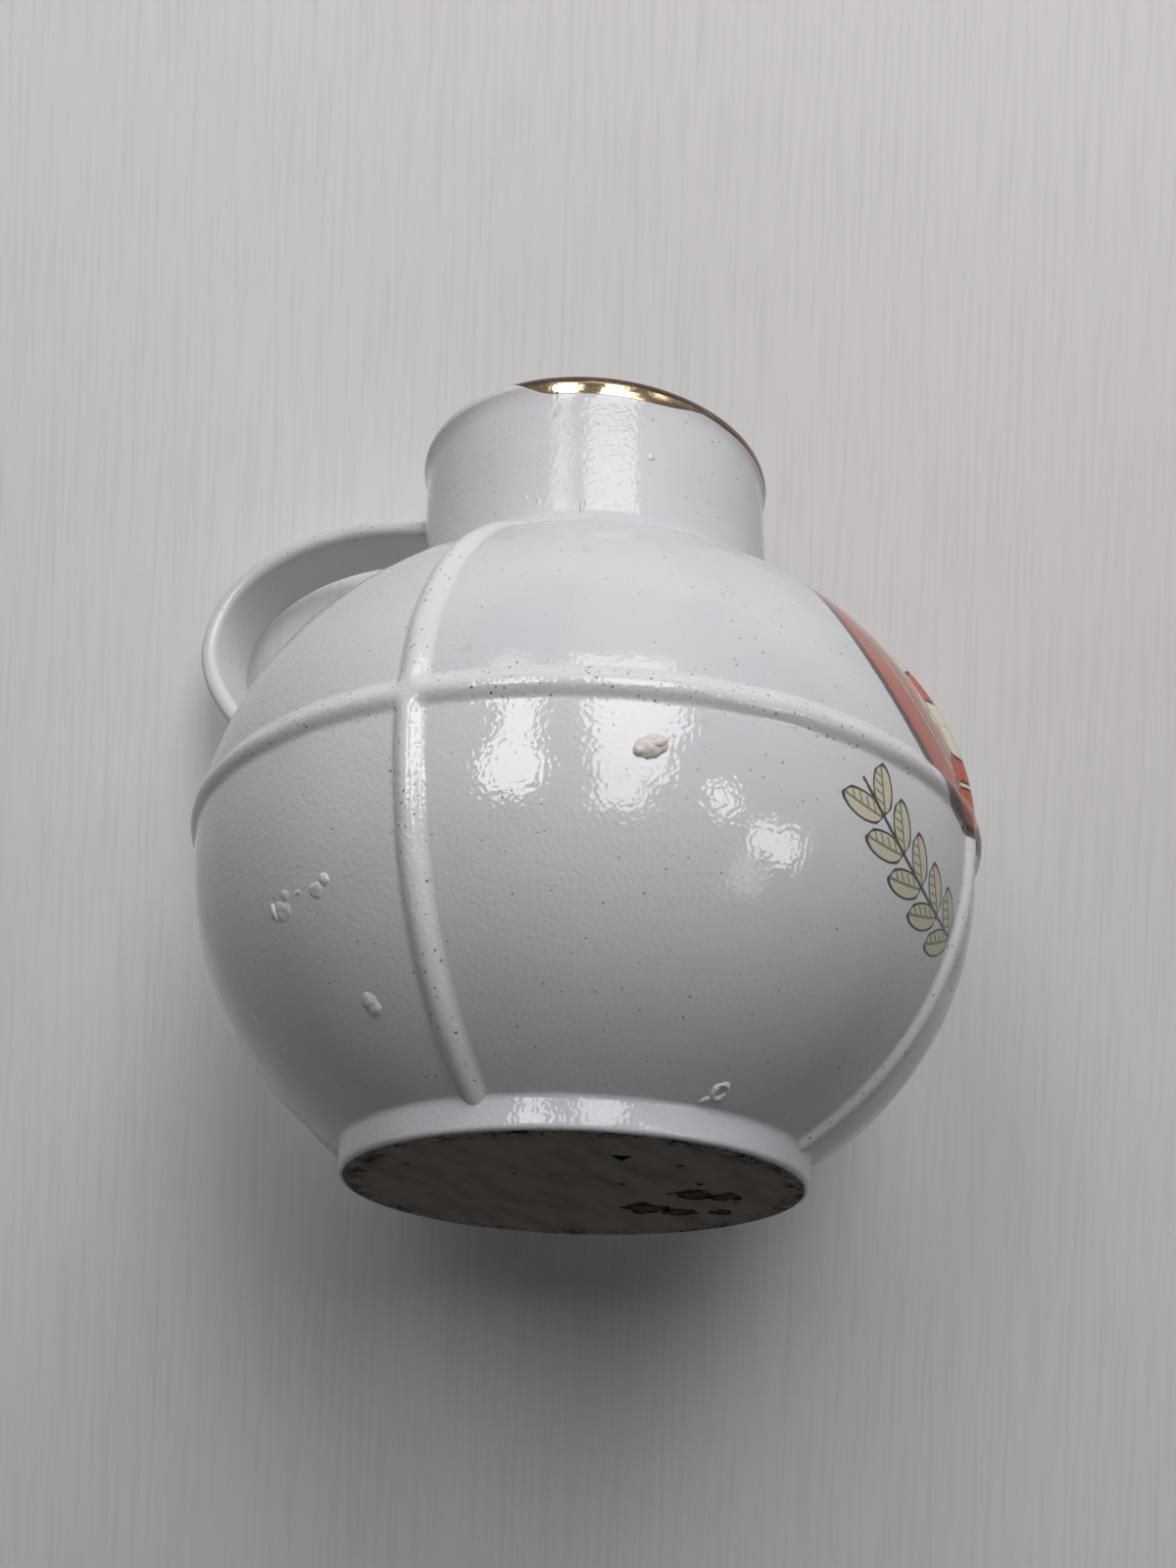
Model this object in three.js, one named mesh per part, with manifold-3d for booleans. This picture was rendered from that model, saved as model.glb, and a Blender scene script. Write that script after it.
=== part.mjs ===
// A small glazed porcelain milk jug: a globular belly on a disc foot, a short neck with a gilt lip,
// a strap handle stuck on with slip, and raised bands down and round the belly.
// Millimetres, +Z up, origin at the centre of the foot's underside. The handle points along -X.
import * as THREE from 'three';
import { mergeVertices } from 'three/addons/utils/BufferGeometryUtils.js';
import Module from 'manifold-3d';

// Belly. The fullness is the power of the outline's superellipse: 2 is an ellipse, more is squarer.
const BELLY_DIAMETER = 62;
const GIRTH_HEIGHT = 26.1;
const SHOULDER_RISE = 23.3;
const UPPER_FULLNESS = 1.92;
const LOWER_FULLNESS = 2.12;
const WALL = 2.5;
const FLOOR = 1.5;

// Foot, neck and lip
const FOOT_DIAMETER = 35.2;
const FOOT_THICKNESS = 2.15;
const FOOT_ROUND = 0.7;
const FOOT_LEDGE = 0.3;
const NECK_DIAMETER = 30.1;
const NECK_HEIGHT = 14.6;
const LIP_FLARE = 0.38;
const LIP_FLARE_LENGTH = 1.6;
const LIP_ROUND = 0.8;
const GILT_HEIGHT = 1;

// Raised bands, whose relief is counted from the belly's surface
const BAND_WIDTH = 2.5;
const BAND_RELIEF = 0.9;
const BAND_EDGE = 0.15;

// Handle, along the middle of its strap
const STRAP_WIDTH = 6.4;
const STRAP_THICKNESS = 1.6;
const STRAP_ROUND = 0.7;
const HANDLE_OVERHANG = 7.2;
const HANDLE_BEND_DROP = 7.9;
const UPPER_ROOT_BELOW_LIP = 3.5;
const UPPER_ROOT_SLOPE = THREE.MathUtils.degToRad(20);
const UPPER_ROOT_REACH = 11;
const LOWER_ROOT_RISE = 11.3;
const LOWER_ROOT_SLOPE = THREE.MathUtils.degToRad(49);
const LOWER_ROOT_REACH = 6.1;
const BEND_REACH_UP = 9.3;
const BEND_REACH_DOWN = 5.3;

// Slip squeezed out round each end of the strap: its spread past the strap, and how far it stands out
const SLIP_SPREAD = 0.9;
const SLIP_STAND = 1.7;

// Clearance between neighbouring pieces
const SEAT_GAP = 0.3;

// Steps round the axis, along outlines and round small sections
const TURN_STEPS = 60;
const OUTLINE_STEPS = 22;
const BORE_STEPS = 14;
const ROUND_STEPS = 3;
const BAND_STEPS = 4;
const RIB_STEPS = 18;
const GIRTH_STEPS = 12;
const HANDLE_STEPS = 24;
const SLIP_TURN_STEPS = 20;
const SLIP_STEPS = 12;

const bellyRadius = BELLY_DIAMETER / 2;
const footRadius = FOOT_DIAMETER / 2;
const seatRadius = footRadius - FOOT_LEDGE;
const neckRadius = NECK_DIAMETER / 2;
const boreRadius = neckRadius - WALL;
const lipRadius = neckRadius + LIP_FLARE;
const shoulderHeight = GIRTH_HEIGHT + SHOULDER_RISE;
const lipHeight = shoulderHeight + NECK_HEIGHT;
const giltSeat = lipHeight - GILT_HEIGHT;
const floorHeight = FOOT_THICKNESS + FLOOR;
const quarterTurn = Math.PI / 2;

const wasm = await Module();
wasm.setup();

const porcelain = new THREE.MeshStandardMaterial({ color: 0xd9dadc, roughness: 0.18, metalness: 0 });
const biscuit = new THREE.MeshStandardMaterial({ color: 0xc9c6c2, roughness: 0.6, metalness: 0 });
const gilt = new THREE.MeshStandardMaterial({ color: 0xb58a4a, roughness: 0.25, metalness: 1 });

// Half of the full height that a superellipse needs to have the given radius at the given rise
function domeFor(rise, radius, fullness) {
  return rise / (1 - (radius / bellyRadius) ** fullness) ** (1 / fullness);
}

const upperDome = domeFor(SHOULDER_RISE, neckRadius, UPPER_FULLNESS);
const lowerDome = domeFor(GIRTH_HEIGHT - FOOT_THICKNESS, seatRadius, LOWER_FULLNESS);

// A point of the belly's outline, grown outwards. The angle is 0 at the girth and rises to the pole.
function outlinePoint(angle, grow) {
  const upper = angle >= 0;
  const dome = (upper ? upperDome : lowerDome) + grow;
  const power = 2 / (upper ? UPPER_FULLNESS : LOWER_FULLNESS);
  const radius = (bellyRadius + grow) * Math.cos(angle) ** power;
  const rise = dome * Math.sin(Math.abs(angle)) ** power;
  return new THREE.Vector2(radius, GIRTH_HEIGHT + (upper ? rise : -rise));
}

function angleAtRadius(radius, grow) {
  return Math.acos((radius / (bellyRadius + grow)) ** (UPPER_FULLNESS / 2));
}

// The outline angle at a height, negative below the girth
function angleAtHeight(height, grow) {
  const rise = height - GIRTH_HEIGHT;
  const dome = (rise >= 0 ? upperDome : lowerDome) + grow;
  const fullness = rise >= 0 ? UPPER_FULLNESS : LOWER_FULLNESS;
  return Math.sign(rise) * Math.asin((Math.abs(rise) / dome) ** (fullness / 2));
}

function outline(fromAngle, toAngle, steps, grow) {
  const points = [];
  for (let i = 0; i <= steps; i++) {
    points.push(outlinePoint(fromAngle + ((toAngle - fromAngle) * i) / steps, grow));
  }
  return points;
}

// A rounded corner, from one angle to another about a centre
function corner(x, y, radius, fromAngle, toAngle) {
  const points = [];
  for (let i = 0; i <= ROUND_STEPS; i++) {
    const angle = fromAngle + ((toAngle - fromAngle) * i) / ROUND_STEPS;
    points.push(new THREE.Vector2(x + radius * Math.cos(angle), y + radius * Math.sin(angle)));
  }
  return points;
}

function at(radius, height) {
  return new THREE.Vector2(radius, height);
}

// Keeps the positions alone and joins the points that faces share
function weld(geometry) {
  geometry.deleteAttribute('normal');
  geometry.deleteAttribute('uv');
  return mergeVertices(geometry);
}

function turned(points) {
  const geometry = new THREE.LatheGeometry(points, TURN_STEPS);
  geometry.rotateX(quarterTurn);
  return geometry;
}

function ring(points) {
  return turned([...points, points[0]]);
}

function swept(section, extrudePath, steps) {
  const settings = { steps, extrudePath, curveSegments: BAND_STEPS, bevelEnabled: false };
  return new THREE.ExtrudeGeometry(section, settings);
}

function solid(geometry) {
  const welded = weld(geometry.clone());
  const vertProperties = Float32Array.from(welded.attributes.position.array);
  const triVerts = Uint32Array.from(welded.index.array);
  return new wasm.Manifold(new wasm.Mesh({ numProp: 3, vertProperties, triVerts }));
}

function geometryOf(manifold) {
  const mesh = manifold.getMesh();
  const geometry = new THREE.BufferGeometry();
  geometry.setAttribute('position', new THREE.BufferAttribute(mesh.vertProperties, 3));
  geometry.setIndex(new THREE.BufferAttribute(mesh.triVerts, 1));
  return geometry;
}

// An upright cylinder between two heights
function post(radius, low, high) {
  const geometry = new THREE.CylinderGeometry(radius, radius, high - low, TURN_STEPS);
  geometry.rotateX(quarterTurn);
  geometry.translate(0, 0, (low + high) / 2);
  return solid(geometry);
}

const jug = new THREE.Group();

function place(name, geometry, material, turn = 0) {
  geometry.computeVertexNormals();
  const mesh = new THREE.Mesh(geometry, material);
  mesh.name = name;
  mesh.rotation.z = turn;
  jug.add(mesh);
}

// Belly, with a flat floor and a flat seat for the neck
function bellyGeometry() {
  const seatAngle = angleAtHeight(FOOT_THICKNESS, 0);
  const floorAngle = angleAtHeight(floorHeight, -WALL);
  const outside = outline(seatAngle, angleAtRadius(neckRadius, 0), OUTLINE_STEPS, 0);
  const inside = outline(angleAtRadius(boreRadius, -WALL), floorAngle, BORE_STEPS, -WALL);
  outside[0] = at(seatRadius, FOOT_THICKNESS);
  outside[OUTLINE_STEPS] = at(neckRadius, shoulderHeight);
  inside[BORE_STEPS].y = floorHeight;
  return turned([
    at(0, FOOT_THICKNESS),
    ...outside,
    at(boreRadius, shoulderHeight),
    ...inside,
    at(0, floorHeight),
  ]);
}

function footGeometry() {
  const edge = footRadius - FOOT_ROUND;
  return turned([
    at(0, 0),
    ...corner(edge, FOOT_ROUND, FOOT_ROUND, -quarterTurn, 0),
    ...corner(edge, FOOT_THICKNESS - FOOT_ROUND, FOOT_ROUND, 0, quarterTurn),
    at(0, FOOT_THICKNESS),
  ]);
}

function neckGeometry() {
  return ring([
    at(boreRadius, shoulderHeight),
    at(neckRadius, shoulderHeight),
    at(neckRadius, giltSeat - LIP_FLARE_LENGTH),
    at(lipRadius, giltSeat),
    at(boreRadius, giltSeat),
  ]);
}

function giltLipGeometry() {
  const crown = lipHeight - LIP_ROUND;
  return ring([
    at(boreRadius, giltSeat),
    at(lipRadius, giltSeat),
    ...corner(lipRadius - LIP_ROUND, crown, LIP_ROUND, 0, quarterTurn),
    ...corner(boreRadius + LIP_ROUND, crown, LIP_ROUND, quarterTurn, 2 * quarterTurn),
  ]);
}

// Section of a raised band: x across it, y out from the belly's surface
function bandSection() {
  const half = BAND_WIDTH / 2;
  const edge = SEAT_GAP + BAND_EDGE;
  const section = new THREE.Shape();
  section.moveTo(-half, SEAT_GAP);
  section.lineTo(half, SEAT_GAP);
  section.lineTo(half, edge);
  section.quadraticCurveTo(0, 2 * BAND_RELIEF - edge, -half, edge);
  section.closePath();
  return section;
}

class Meridian extends THREE.Curve {
  constructor(lowAngle, highAngle) {
    super();
    this.lowAngle = lowAngle;
    this.highAngle = highAngle;
  }

  getPoint(t, target = new THREE.Vector3()) {
    const point = outlinePoint(THREE.MathUtils.lerp(this.lowAngle, this.highAngle, t), 0);
    return target.set(point.x, 0, point.y);
  }
}

// A stretch of the girth, run clockwise so that the section's y points outwards
class GirthArc extends THREE.Curve {
  constructor(fromAngle, toAngle) {
    super();
    this.fromAngle = fromAngle;
    this.toAngle = toAngle;
  }

  getPoint(t, target = new THREE.Vector3()) {
    const angle = THREE.MathUtils.lerp(this.fromAngle, this.toAngle, t);
    return target.set(bellyRadius * Math.cos(angle), bellyRadius * Math.sin(angle), GIRTH_HEIGHT);
  }
}

// Handle
const upperRoot = new THREE.Vector3(-neckRadius, 0, lipHeight - UPPER_ROOT_BELOW_LIP);
const lowerRootOutline = outlinePoint(angleAtHeight(GIRTH_HEIGHT + LOWER_ROOT_RISE, 0), 0);
const lowerRoot = new THREE.Vector3(-lowerRootOutline.x, 0, lowerRootOutline.y);
const bend = new THREE.Vector3(-bellyRadius - HANDLE_OVERHANG, 0, upperRoot.z - HANDLE_BEND_DROP);

// A point that lies out from a root along a slope, or back into the wall where the distance is negative
function alongSlope(root, slope, distance) {
  return new THREE.Vector3(root.x - distance * Math.cos(slope), 0, root.z + distance * Math.sin(slope));
}

function handlePath() {
  const path = new THREE.CurvePath();
  const upper = alongSlope(upperRoot, UPPER_ROOT_SLOPE, -WALL / 2);
  const lower = alongSlope(lowerRoot, LOWER_ROOT_SLOPE, -WALL / 2);
  path.add(new THREE.LineCurve3(upper, upperRoot));
  path.add(new THREE.CubicBezierCurve3(
    upperRoot,
    alongSlope(upperRoot, UPPER_ROOT_SLOPE, UPPER_ROOT_REACH),
    new THREE.Vector3(bend.x, 0, bend.z + BEND_REACH_UP),
    bend,
  ));
  path.add(new THREE.CubicBezierCurve3(
    bend,
    new THREE.Vector3(bend.x, 0, bend.z - BEND_REACH_DOWN),
    alongSlope(lowerRoot, LOWER_ROOT_SLOPE, LOWER_ROOT_REACH),
    lowerRoot,
  ));
  path.add(new THREE.LineCurve3(lowerRoot, lower));
  return path;
}

function strapSection(grow) {
  const x = STRAP_WIDTH / 2 + grow;
  const y = STRAP_THICKNESS / 2 + grow;
  const round = STRAP_ROUND + grow;
  return new THREE.Shape([
    ...corner(x - round, y - round, round, 0, quarterTurn),
    ...corner(round - x, y - round, round, quarterTurn, 2 * quarterTurn),
    ...corner(round - x, round - y, round, 2 * quarterTurn, 3 * quarterTurn),
    ...corner(x - round, round - y, round, 3 * quarterTurn, 4 * quarterTurn),
  ]);
}

// A flattened ball of slip about a root, standing out along the wall's normal
function slipBall(root, normalSlope, grow) {
  const geometry = new THREE.SphereGeometry(1, SLIP_TURN_STEPS, SLIP_STEPS);
  const along = STRAP_THICKNESS / 2 + SLIP_SPREAD + grow;
  const across = STRAP_WIDTH / 2 + SLIP_SPREAD + grow;
  geometry.scale(SLIP_STAND + grow, across, along);
  geometry.rotateY(normalSlope);
  geometry.translate(root.x, root.y, root.z);
  return solid(geometry);
}

// Slope of the belly's outward normal at the handle's lower root
function lowerNormalSlope() {
  const fullness = UPPER_FULLNESS - 1;
  const out = (lowerRootOutline.x / bellyRadius) ** fullness / bellyRadius;
  const up = (LOWER_ROOT_RISE / upperDome) ** fullness / upperDome;
  return Math.atan2(up, out);
}

const neckClearance = post(neckRadius + SEAT_GAP, GIRTH_HEIGHT, lipHeight);
const footClearance = post(bellyRadius, -GIRTH_HEIGHT, FOOT_THICKNESS + SEAT_GAP);
const bellyClearance = solid(turned(outline(-quarterTurn, quarterTurn, OUTLINE_STEPS, SEAT_GAP)));
const strapClearance = solid(swept(strapSection(SEAT_GAP), handlePath(), HANDLE_STEPS));

place('belly', bellyGeometry(), porcelain);
place('foot', footGeometry(), biscuit);
place('neck', neckGeometry(), porcelain);
place('gilt_lip', giltLipGeometry(), gilt);

const strap = solid(swept(strapSection(0), handlePath(), HANDLE_STEPS));
place('handle', geometryOf(strap.subtract(neckClearance).subtract(bellyClearance)), porcelain);

const upperSlip = slipBall(upperRoot, 0, 0).subtract(strapClearance);
place('handle_upper_slip', geometryOf(upperSlip.subtract(neckClearance)), porcelain);
const lowerSlip = slipBall(lowerRoot, lowerNormalSlope(), 0).subtract(strapClearance);
place('handle_lower_slip', geometryOf(lowerSlip.subtract(bellyClearance)), porcelain);

// Ribs are made on the +X side, from below the foot's top to inside the neck, trimmed and turned into place
const ribPath = new Meridian(angleAtHeight(0, 0), angleAtRadius(boreRadius, 0));
const rib = solid(swept(bandSection(), ribPath, RIB_STEPS)).subtract(neckClearance).subtract(footClearance);
place('rib_right', geometryOf(rib), porcelain);
place('rib_rear', geometryOf(rib), porcelain, quarterTurn);
place('rib_front', geometryOf(rib), porcelain, -quarterTurn);

const handleRib = rib.rotate([0, 0, 180]).subtract(slipBall(lowerRoot, lowerNormalSlope(), SEAT_GAP));
const aboveRoot = post(2 * bellyRadius, lowerRoot.z, lipHeight);
place('rib_handle_upper', geometryOf(handleRib.intersect(aboveRoot)), porcelain);
place('rib_handle_lower', geometryOf(handleRib.subtract(aboveRoot)), porcelain);

const ribHalfAngle = Math.asin((BAND_WIDTH / 2 + SEAT_GAP) / bellyRadius);
const girthNames = ['girth_rear_right', 'girth_rear_left', 'girth_front_left', 'girth_front_right'];
girthNames.forEach((name, i) => {
  const start = i * quarterTurn;
  const arc = new GirthArc(start + quarterTurn - ribHalfAngle, start + ribHalfAngle);
  place(name, swept(bandSection(), arc, GIRTH_STEPS), porcelain);
});

export default jug;
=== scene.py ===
"""A small globular milk jug of glazed porcelain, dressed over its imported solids."""

import math

import bpy
import numpy as np
from bpy.props import FloatProperty, FloatVectorProperty, IntProperty, PointerProperty
from mathutils import Matrix, Vector


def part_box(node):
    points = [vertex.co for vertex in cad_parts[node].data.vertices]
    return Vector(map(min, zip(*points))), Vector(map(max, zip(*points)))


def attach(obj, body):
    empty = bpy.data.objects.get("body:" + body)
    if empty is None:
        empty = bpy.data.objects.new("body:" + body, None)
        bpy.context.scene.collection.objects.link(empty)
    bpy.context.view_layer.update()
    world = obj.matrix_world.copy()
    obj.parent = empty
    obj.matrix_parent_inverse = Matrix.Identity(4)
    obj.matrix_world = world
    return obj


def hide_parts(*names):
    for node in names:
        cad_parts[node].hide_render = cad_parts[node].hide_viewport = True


bl_info = {
    "name": "Milk Jug",
    "version": (1, 0, 0),
    "blender": (4, 5, 0),
    "location": "View3D > Sidebar > Milk Jug",
    "description": "Builds a glazed porcelain milk jug over its packed solids",
    "category": "Object",
}

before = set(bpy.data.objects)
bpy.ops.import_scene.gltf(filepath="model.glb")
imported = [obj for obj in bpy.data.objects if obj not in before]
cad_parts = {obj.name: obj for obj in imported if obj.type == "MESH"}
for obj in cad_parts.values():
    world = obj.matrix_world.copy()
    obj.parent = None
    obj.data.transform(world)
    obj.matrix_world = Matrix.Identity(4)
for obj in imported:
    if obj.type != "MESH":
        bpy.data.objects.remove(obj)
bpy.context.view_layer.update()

MM = 0.001
BODY = "root"
GLAZE_SLOT = "glazed_porcelain"
FOOT_SLOT = "foot_porcelain"
GILT_SLOT = "gilding"
QUARTER = math.pi / 2
# Points closer than this are one, and edges steeper than this stay sharp.
WELD_DISTANCE = 0.001 * MM
SHARP_EDGE = math.radians(50.0)

# The camera stands low in front of the jug and looks up at its foot.
CAMERA_TURN = 0.3997
CAMERA_DISTANCE = 129.32 * MM
CAMERA_HEIGHT = -28.51 * MM
CAMERA_PITCH = 0.4481
CAMERA_ROLL = 0.0366
CAMERA_LENS = 39.55
SENSOR = 36.0
CAMERA_CLIP = (0.005, 20.0)


def linear(red, green, blue):
    """Turns a screen colour of 0 to 255 into the linear colour that shaders take."""
    channels = (value / 255 for value in (red, green, blue))
    return tuple(
        value / 12.92 if value <= 0.04045 else ((value + 0.055) / 1.055) ** 2.4
        for value in channels
    )


def dimmed(tint, share):
    """A colour at a share of its brightness."""
    return tuple(share * value for value in tint)


def length(name, description, default):
    """A length in metres."""
    return FloatProperty(
        name=name,
        description=description,
        default=default,
        min=0.0,
        precision=5,
        subtype="DISTANCE",
        unit="LENGTH",
    )


def ratio(name, description, default):
    """A plain number."""
    return FloatProperty(name=name, description=description, default=default)


def colour(name, description, red, green, blue):
    """A colour picked on screen."""
    return FloatVectorProperty(
        name=name,
        description=description,
        default=linear(red, green, blue),
        min=0.0,
        max=1.0,
        size=3,
        subtype="COLOR",
    )


class JugSizes(bpy.types.PropertyGroup):
    """Sizes of the jug, some of them taken from its solids."""

    belly_radius: length("Belly radius", "Radius at the girth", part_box("belly")[1].x)
    girth_height: length("Girth height", "Height of the widest ring", 26.1 * MM)
    upper_dome: length("Upper dome", "Height of the full curve above the girth", 27.06 * MM)
    lower_dome: length("Lower dome", "Depth of the full curve below the girth", 28.16 * MM)
    upper_fullness: ratio("Upper fullness", "Power of the curve above the girth", 1.92)
    lower_fullness: ratio("Lower fullness", "Power of the curve below the girth", 2.12)
    wall: length("Wall", "Thickness of the porcelain", 2.5 * MM)
    floor_height: length("Floor height", "Height of the floor inside", 3.65 * MM)
    foot_radius: length("Foot radius", "Radius of the disc foot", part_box("foot")[1].x)
    foot_height: length("Foot height", "Thickness of the disc foot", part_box("foot")[1].z)
    neck_radius: length("Neck radius", "Outer radius of the neck", 15.05 * MM)
    neck_start: length("Neck start", "Height at which the neck stands straight", 50.7 * MM)
    gilt_start: length("Gilding start", "Height of the gilding's edge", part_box("gilt_lip")[0].z)
    lip_height: length("Lip height", "Height of the lip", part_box("gilt_lip")[1].z)
    lip_radius: length("Lip radius", "Outer radius of the lip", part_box("gilt_lip")[1].x)
    band_half_width: length("Band half width", "Half the width of ribs and girth", 1.48 * MM)
    band_relief: length("Band relief", "Height of ribs and girth over the belly", 0.56 * MM)
    strap_width: length("Strap width", "Width of the handle's strap", 6.4 * MM)
    strap_thickness: length("Strap thickness", "Thickness of the handle's strap", 1.6 * MM)
    strap_round: length("Strap rounding", "Rounding of the strap's edges", 0.7 * MM)
    upper_root: length("Upper root", "Height of the handle's root on the neck", 60.5 * MM)
    lower_root: length("Lower root", "Height of the handle's root on the belly", 37.4 * MM)
    handle_out: length("Handle reach", "Reach of the handle from the jug's axis", 38.2 * MM)
    bend_height: length("Bend height", "Height of the handle's outermost point", 52.6 * MM)


class JugColours(bpy.types.PropertyGroup):
    """Colours of the glaze, the gilding, the print and the stage."""

    glaze: colour("Glaze", "White of the glaze", 223, 222, 224)
    glaze_shade: colour("Glaze shade", "Where the glaze lies thick", 212, 215, 221)
    crest: colour("Crest", "Thin glaze on the raised bands", 235, 232, 231)
    speck: colour("Speck", "Iron specks in the glaze", 92, 66, 54)
    smudge: colour("Smudge", "Faint rust in the glaze", 196, 170, 140)
    flake: colour("Flake", "Bare crumb of clay in the glaze", 230, 221, 216)
    stain: colour("Stain", "Rust on the underside", 112, 84, 50)
    bisque: colour("Bisque", "Unglazed underside of the foot", 222, 211, 202)
    dirt: colour("Dirt", "Grime on the underside", 38, 29, 22)
    gold: colour("Gold", "Gilding on the lip", 186, 164, 130)
    # Darker gold: partly dull gilding, partly a painted dark reflection along the rim's top.
    gold_dull_and_shade: colour("Dull and shaded gold", "Dull gilding along the rim", 110, 98, 88)
    roundel: colour("Roundel", "Coral ground of the print", 184, 92, 66)
    cream: colour("Cream", "Pale parts of the print", 214, 208, 184)
    ink: colour("Ink", "Outlines of the print", 46, 42, 40)
    ground: colour("Ground", "Floor and backdrop sheet", 242, 238, 238)
    room: colour("Room", "Surroundings behind the floor", 192, 190, 190)


class JugSettings(bpy.types.PropertyGroup):
    """Everything that a user of the jug may change."""

    sizes: PointerProperty(type=JugSizes)
    colours: PointerProperty(type=JugColours)
    turned_steps: IntProperty(
        name="Turned steps", description="Steps round a turned form", default=256, min=16
    )


def forward(operation):
    """A wire's operator, with the wire as its first operand."""
    return lambda wire, *others: wire.tree.math(operation, wire, *others)


def reflected(operation):
    """A wire's reflected operator, with the wire as its second operand."""
    return lambda wire, other: wire.tree.math(operation, other, wire)


class Wire:
    """A node's output, on which arithmetic adds Math nodes."""

    __add__, __radd__ = forward("ADD"), reflected("ADD")
    __sub__, __rsub__ = forward("SUBTRACT"), reflected("SUBTRACT")
    __mul__, __rmul__ = forward("MULTIPLY"), reflected("MULTIPLY")
    __truediv__, __rtruediv__ = forward("DIVIDE"), reflected("DIVIDE")
    __lt__, __gt__ = forward("LESS_THAN"), forward("GREATER_THAN")
    __pow__, __abs__ = forward("POWER"), forward("ABSOLUTE")
    least, most = forward("MINIMUM"), forward("MAXIMUM")
    sine, cosine, root = forward("SINE"), forward("COSINE"), forward("SQRT")
    angle, floor = forward("ARCTAN2"), forward("FLOOR")

    def __init__(self, tree, socket):
        self.tree = tree
        self.socket = socket

    def __getitem__(self, name):
        """Another output of the same node."""
        return Wire(self.tree, self.socket.node.outputs[name])

    def __neg__(self):
        return self * -1.0


class Tree:
    """Writes the nodes of a shader or geometry tree."""

    def __init__(self, nodes, links):
        self.nodes = nodes
        self.links = links

    def add(self, kind, settings=None, sockets=None, out=0):
        """Adds a node: its settings are set first, then its sockets are filled or linked."""
        node = self.nodes.new(kind)
        for name, value in (settings or {}).items():
            if name == "stops":
                self.set_stops(node.color_ramp, value)
            else:
                setattr(node, name, value)
        for key, value in (sockets or {}).items():
            if isinstance(value, Wire):
                self.links.new(value.socket, node.inputs[key])
            else:
                node.inputs[key].default_value = value
        return Wire(self, node.outputs[out]) if len(node.outputs) else node

    @staticmethod
    def set_stops(ramp, stops):
        """Gives a colour ramp its stops."""
        while len(ramp.elements) < len(stops):
            ramp.elements.new(1.0)
        for element, (position, value) in zip(ramp.elements, stops):
            element.position = position
            element.color = value

    def math(self, operation, *operands):
        """A Math node on wires and numbers."""
        return self.add("ShaderNodeMath", {"operation": operation}, dict(enumerate(operands)))

    def vector(self, operation, *operands, out=0):
        """A Vector Math node on wires and vectors."""
        settings = {"operation": operation}
        return self.add("ShaderNodeVectorMath", settings, dict(enumerate(operands)), out)

    def mix(self, factor, first, second):
        """Mixes two colours by a factor."""
        settings = {"data_type": "RGBA", "blend_type": "MIX", "clamp_factor": True}
        first, second = (
            tint if isinstance(tint, Wire) else (*tint, 1.0) for tint in (first, second)
        )
        return self.add("ShaderNodeMix", settings, {0: factor, 6: first, 7: second}, out=2)

    def step(self, value, low, high):
        """A smooth step of value from 0 at low to 1 at high."""
        settings = {"interpolation_type": "SMOOTHSTEP"}
        return self.add("ShaderNodeMapRange", settings, {0: value, 1: low, 2: high})

    def combine(self, x, y, z):
        """A vector from its x, y and z."""
        return self.add("ShaderNodeCombineXYZ", sockets={0: x, 1: y, 2: z})

    def axes(self, place):
        """The x, y and z of a place."""
        apart = self.add("ShaderNodeSeparateXYZ", None, {0: place})
        return [apart[axis] for axis in "XYZ"]

    def noise(self, place, scale, detail=2.0, roughness=0.5):
        """Noise of about 0 to 1 at a place."""
        sockets = {"Vector": place, "Scale": scale, "Detail": detail, "Roughness": roughness}
        return self.add("ShaderNodeTexNoise", None, sockets)


class Form(Tree):
    """A Geometry Nodes tree with named inputs, which shapes one kind of piece."""

    def __init__(self, name):
        self.group = bpy.data.node_groups.new(name, "GeometryNodeTree")
        super().__init__(self.group.nodes, self.group.links)
        self.entry = self.add("NodeGroupInput").socket.node
        self.group.interface.new_socket(
            "Geometry", in_out="OUTPUT", socket_type="NodeSocketGeometry"
        )

    def take(self, name, kind="NodeSocketFloat"):
        """Adds a named input and returns it as a wire."""
        self.group.interface.new_socket(name, in_out="INPUT", socket_type=kind)
        return Wire(self, self.entry.outputs[name])

    def lengths(self, *names):
        """Adds several number inputs and returns their wires."""
        return [self.take(name) for name in names]

    def weld(self, geometry):
        """Merges the points that meet at seams and poles."""
        sockets = {"Geometry": geometry, "Distance": WELD_DISTANCE}
        return self.add("GeometryNodeMergeByDistance", None, sockets)

    def give(self, geometry):
        """Ends the tree in plain, smooth-shaded and painted geometry."""
        material = self.take("Material", "NodeSocketMaterial")
        real = self.add("GeometryNodeRealizeInstances", None, {"Geometry": geometry})
        smooth = self.add("GeometryNodeSetShadeSmooth", None, {"Geometry": real})
        painted = self.add(
            "GeometryNodeSetMaterial", None, {"Geometry": smooth, "Material": material}
        )
        self.add("NodeGroupOutput", None, {"Geometry": painted})

    def shape(self, name, mesh, values):
        """Runs the tree on a mesh and returns the object with its plain result."""
        piece = new_object(name, mesh)
        modifier = piece.modifiers.new("form", "NODES")
        modifier.node_group = self.group
        sockets = {
            item.name: item.identifier
            for item in self.group.interface.items_tree
            if item.in_out == "INPUT"
        }
        for label, value in values.items():
            modifier[sockets[label]] = value
        bpy.context.view_layer.update()
        graph = bpy.context.evaluated_depsgraph_get()
        result = bpy.data.meshes.new_from_object(
            piece.evaluated_get(graph), preserve_all_data_layers=True, depsgraph=graph
        )
        piece.modifiers.clear()
        piece.data = result
        bpy.data.meshes.remove(mesh)
        result.name = name
        result.materials.clear()
        result.materials.append(values["Material"])
        result.polygons.foreach_set("material_index", [0] * len(result.polygons))
        return piece


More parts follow.
